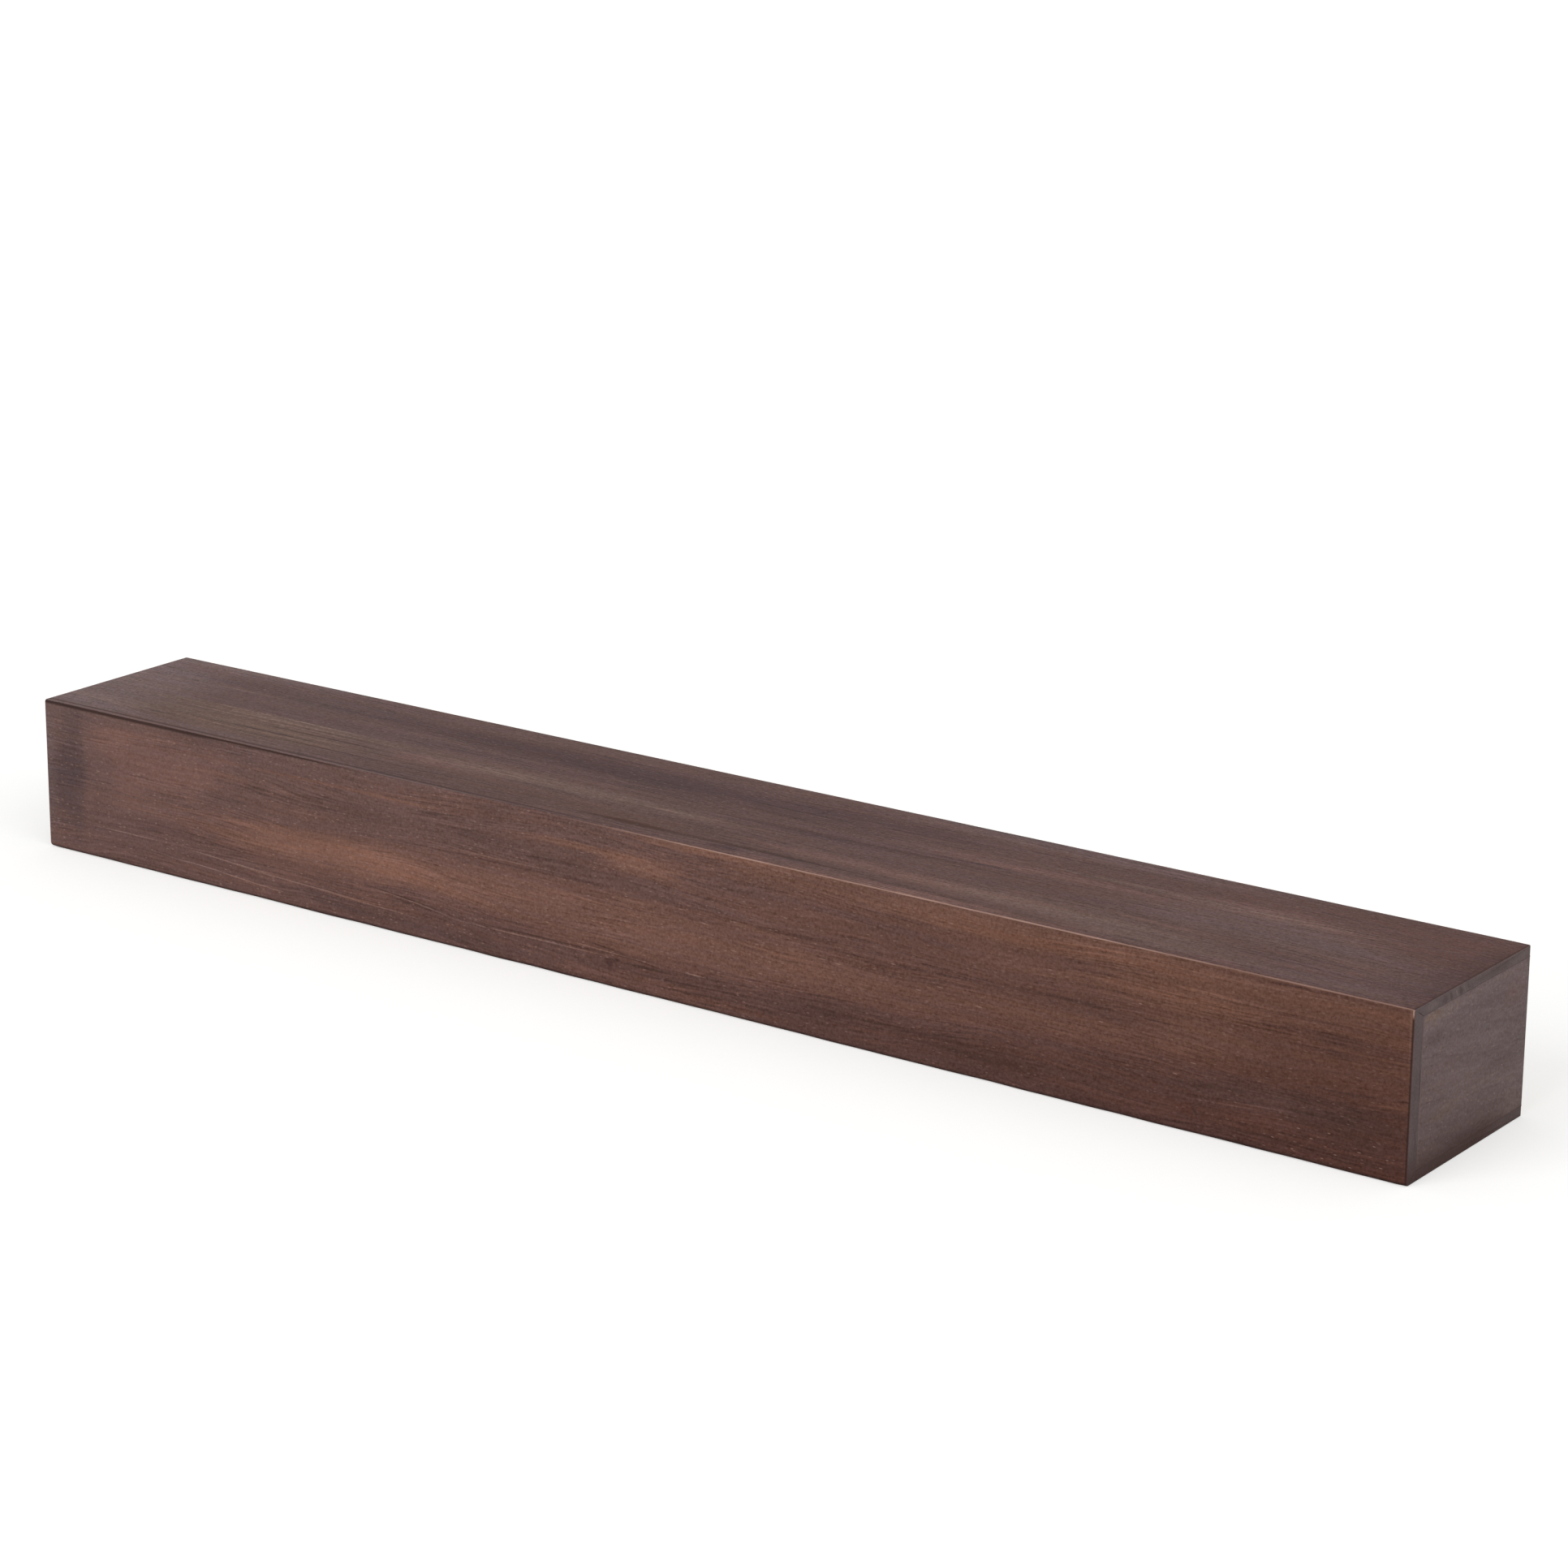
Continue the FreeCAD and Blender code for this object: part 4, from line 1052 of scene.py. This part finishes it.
def open_sides(outward, least, back=False):
    """Says whether a side is open to view: it faces outward enough or, with back, faces the wall."""

    def shown(side):
        return side.dot(outward) > least or (back and side.x > OPEN_BACK)

    return shown


def finish_slots(outward, least, end_grain=False):
    """Gives a face's finish by its normal: stained where it faces outward enough, end grain, or bare."""

    def slot_of(normal):
        if end_grain and abs(normal.x) > FACES_END:
            return END_GRAIN
        return OUTSIDE if normal.dot(outward) > least else BARE

    return slot_of


def dress(piece, node):
    """The piece stands for the CAD node and rides on the shelf."""
    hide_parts(node)
    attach(piece, "shelf")


def make_long_boards(finishes):
    top_low, top_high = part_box("top_board")
    bottom_low, bottom_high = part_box("bottom_board")
    front_low, front_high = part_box("front_board")
    front, inside = front_low.y, front_high.y
    ceiling, top = top_low.z, top_high.z
    floor, bottom = bottom_high.z, bottom_low.z
    wall = 0.0
    sections = {
        "top": (
            (wall, ceiling, INNER_BACK_EDGE, None),
            (wall, top, BACK_EDGE, None),
            (front, top, ARRIS, FORWARD),
            (inside, ceiling, GLUE_EDGE, None),
        ),
        "bottom": (
            (wall, bottom, BACK_EDGE, None),
            (wall, floor, INNER_BACK_EDGE, None),
            (inside, floor, GLUE_EDGE, None),
            (front, bottom, LOWER_ARRIS, FORWARD),
        ),
        "front": (
            (inside, ceiling, GLUE_EDGE, None),
            (front, top, ARRIS, UP),
            (front, bottom, LOWER_ARRIS, DOWN),
            (inside, floor, GLUE_EDGE, None),
        ),
    }
    for side, outward in (("top", UP), ("bottom", DOWN), ("front", FORWARD)):
        node = side + "_board"
        piece = board(
            "stained_" + node, "x", (LOW.x, HIGH.x), sections[side], (END_ARRIS, END_ARRIS),
            open_sides(outward, OPEN_OUTSIDE, back=side != "front"),
            (finishes[side], finishes["end_grain"], finishes["bare"]),
            finish_slots(Vector((0, *outward)), FACES_OUT, end_grain=True),
        )
        dress(piece, node)


def make_end_panels(finishes):
    for node, outward in (("end_panel_left", -1), ("end_panel_right", 1)):
        low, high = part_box(node)
        places = ((high.x, low.z), (high.x, high.z), (low.x, high.z), (low.x, low.z))
        piece = board(
            "stained_" + node, "y", (low.y, high.y), [(*place, GLUE_EDGE, None) for place in places],
            (PANEL_FRONT_EDGE, BACK_EDGE), open_sides(Vector((outward, 0)), OPEN_PANEL),
            (finishes["end"], finishes["end_grain"], finishes["bare_end"]),
            finish_slots(Vector((outward, 0, 0)), OPEN_PANEL),
        )
        dress(piece, node)


# ------------------------------------ finishes

finishes = {
    "front": stained_face("front", FRONT_MARKS, FRONT_FLECKS, front_edges),
    "top": stained_face("top", TOP_MARKS, TOP_FLECKS, top_edges),
    "bottom": stained_face("bottom", BOTTOM_MARKS, BOTTOM_FLECKS, plain_edges),
    "end": stained_face("end", END_MARKS, (), end_edges),
    "end_grain": stained_end_grain(),
    "bare": bare_wood("bare_alder", "alder", "x", shift=60.0, stained_rim=True),
    "bare_end": bare_wood("bare_alder_end", "alder", "y", shift=150.0, stained_rim=True),
}
make_long_boards(finishes)
make_end_panels(finishes)

pine = {axis: bare_wood("pine_along_" + axis, "pine", axis, shift=300.0) for axis in "xyz"}
beech = bare_wood("beech", "beech", "y", shift=20.0)
steel = zinc("zinc_plated_steel")
# The finish of each node whose name begins so. The longest such name counts.
NODE_FINISHES = {
    "wall_cleat": pine["x"],
    "hanging_cleat": pine["x"],
    "lower_back_rail": pine["x"],
    "rib": pine["y"],
    "corner_block": pine["z"],
    "glue_blocks_top": pine["x"],
    "glue_blocks_bottom": pine["x"],
    "glue_blocks_left": pine["y"],
    "glue_blocks_right": pine["y"],
    "rib_dowels": beech,
    "end_dowels": beech,
    "hanging_cleat_screws": steel,
    "lower_rail_screws": steel,
    "corner_block_screws": steel,
}

for name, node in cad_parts.items():
    if node.hide_render:
        continue
    key = max((key for key in NODE_FINISHES if name.startswith(key)), key=len)
    for slot in node.material_slots:
        slot.material = NODE_FINISHES[key]


# -------------------------------------- studio

WHITE = (1, 1, 1, 1)
FLOOR_HALF = 30.0
FLOOR_COLOUR = tone(232, 232, 230)
FLOOR_LIFT = 0.45
AMBIENT = 0.45
# Each lamp: name, azimuth and elevation as seen from the shelf, strength, and spread, in degrees.
LAMPS = (
    ("key", -15, 25, 1.4, 50),
    ("fill", 75, 25, 0.8, 60),
)
CAMERA_PLACE = (2.3003, -3.2021, 1.2404)
CAMERA_AZIMUTH = 35.76
CAMERA_ELEVATION = 16.59
CAMERA_ROLL = 0.45
CAMERA_LENS = 101.71
SENSOR_WIDTH = 36.0


def rotation(degrees, axis):
    return Matrix.Rotation(math.radians(degrees), 4, axis)


def facing(azimuth, elevation):
    """Turns a lamp or a camera so that it looks at the shelf from that azimuth and elevation."""
    return rotation(azimuth, "Z") @ rotation(90 - elevation, "X")


def make_floor():
    """A plain floor that is white to the camera and keeps the shelf's shadow."""
    mesh = bmesh.new()
    corners = ((-1, -1), (1, -1), (1, 1), (-1, 1))
    mesh.faces.new([mesh.verts.new((x * FLOOR_HALF, y * FLOOR_HALF, LOW.z)) for x, y in corners])
    data = to_mesh("studio_floor", mesh)
    paint = Paint("studio_floor")
    diffuse = paint.node("ShaderNodeBsdfDiffuse", {"Color": FLOOR_COLOUR})
    seen = paint.node("ShaderNodeLightPath", {}).outputs["Is Camera Ray"]
    lift = paint.node("ShaderNodeEmission", {"Color": WHITE, "Strength": paint.times(seen, FLOOR_LIFT)})
    both = paint.node("ShaderNodeAddShader", {0: diffuse.outputs[0], 1: lift.outputs[0]})
    paint.node("ShaderNodeOutputMaterial", {0: both.outputs[0]})
    data.materials.append(paint.material)
    floor = add_object("studio_floor", data)


def make_world():
    """Plain soft light all round, which the camera, gloss and glass see as white."""
    world = bpy.data.worlds.new("studio")
    world.use_nodes = True
    sky = Nodes(world.node_tree)
    rays = sky.node("ShaderNodeLightPath", {}).outputs
    direct = sky.math("MAXIMUM", rays["Is Camera Ray"], rays["Is Glossy Ray"])
    clear = sky.math("MAXIMUM", direct, rays["Is Transmission Ray"])
    strength = sky.node("ShaderNodeMapRange", {"Value": clear, "To Min": AMBIENT, "To Max": 1.0})
    light = sky.node("ShaderNodeBackground", {"Color": WHITE, "Strength": strength.outputs[0]})
    sky.node("ShaderNodeOutputWorld", {"Surface": light.outputs[0]})
    bpy.context.scene.world = world


def make_lamp(name, azimuth, elevation, strength, spread):
    data = bpy.data.lights.new(name, "SUN")
    data.energy = strength
    data.angle = math.radians(spread)
    add_object(name, data).matrix_world = facing(azimuth, elevation)


def make_camera():
    data = bpy.data.cameras.new("camera")
    data.lens = CAMERA_LENS
    data.sensor_width = SENSOR_WIDTH
    camera = add_object("camera", data)
    turn = facing(CAMERA_AZIMUTH, CAMERA_ELEVATION) @ rotation(CAMERA_ROLL, "Z")
    camera.matrix_world = Matrix.Translation(CAMERA_PLACE) @ turn
    bpy.context.scene.camera = camera


make_floor()
make_world()
for lamp in LAMPS:
    make_lamp(*lamp)
make_camera()
bpy.context.scene.view_settings.view_transform = "Standard"
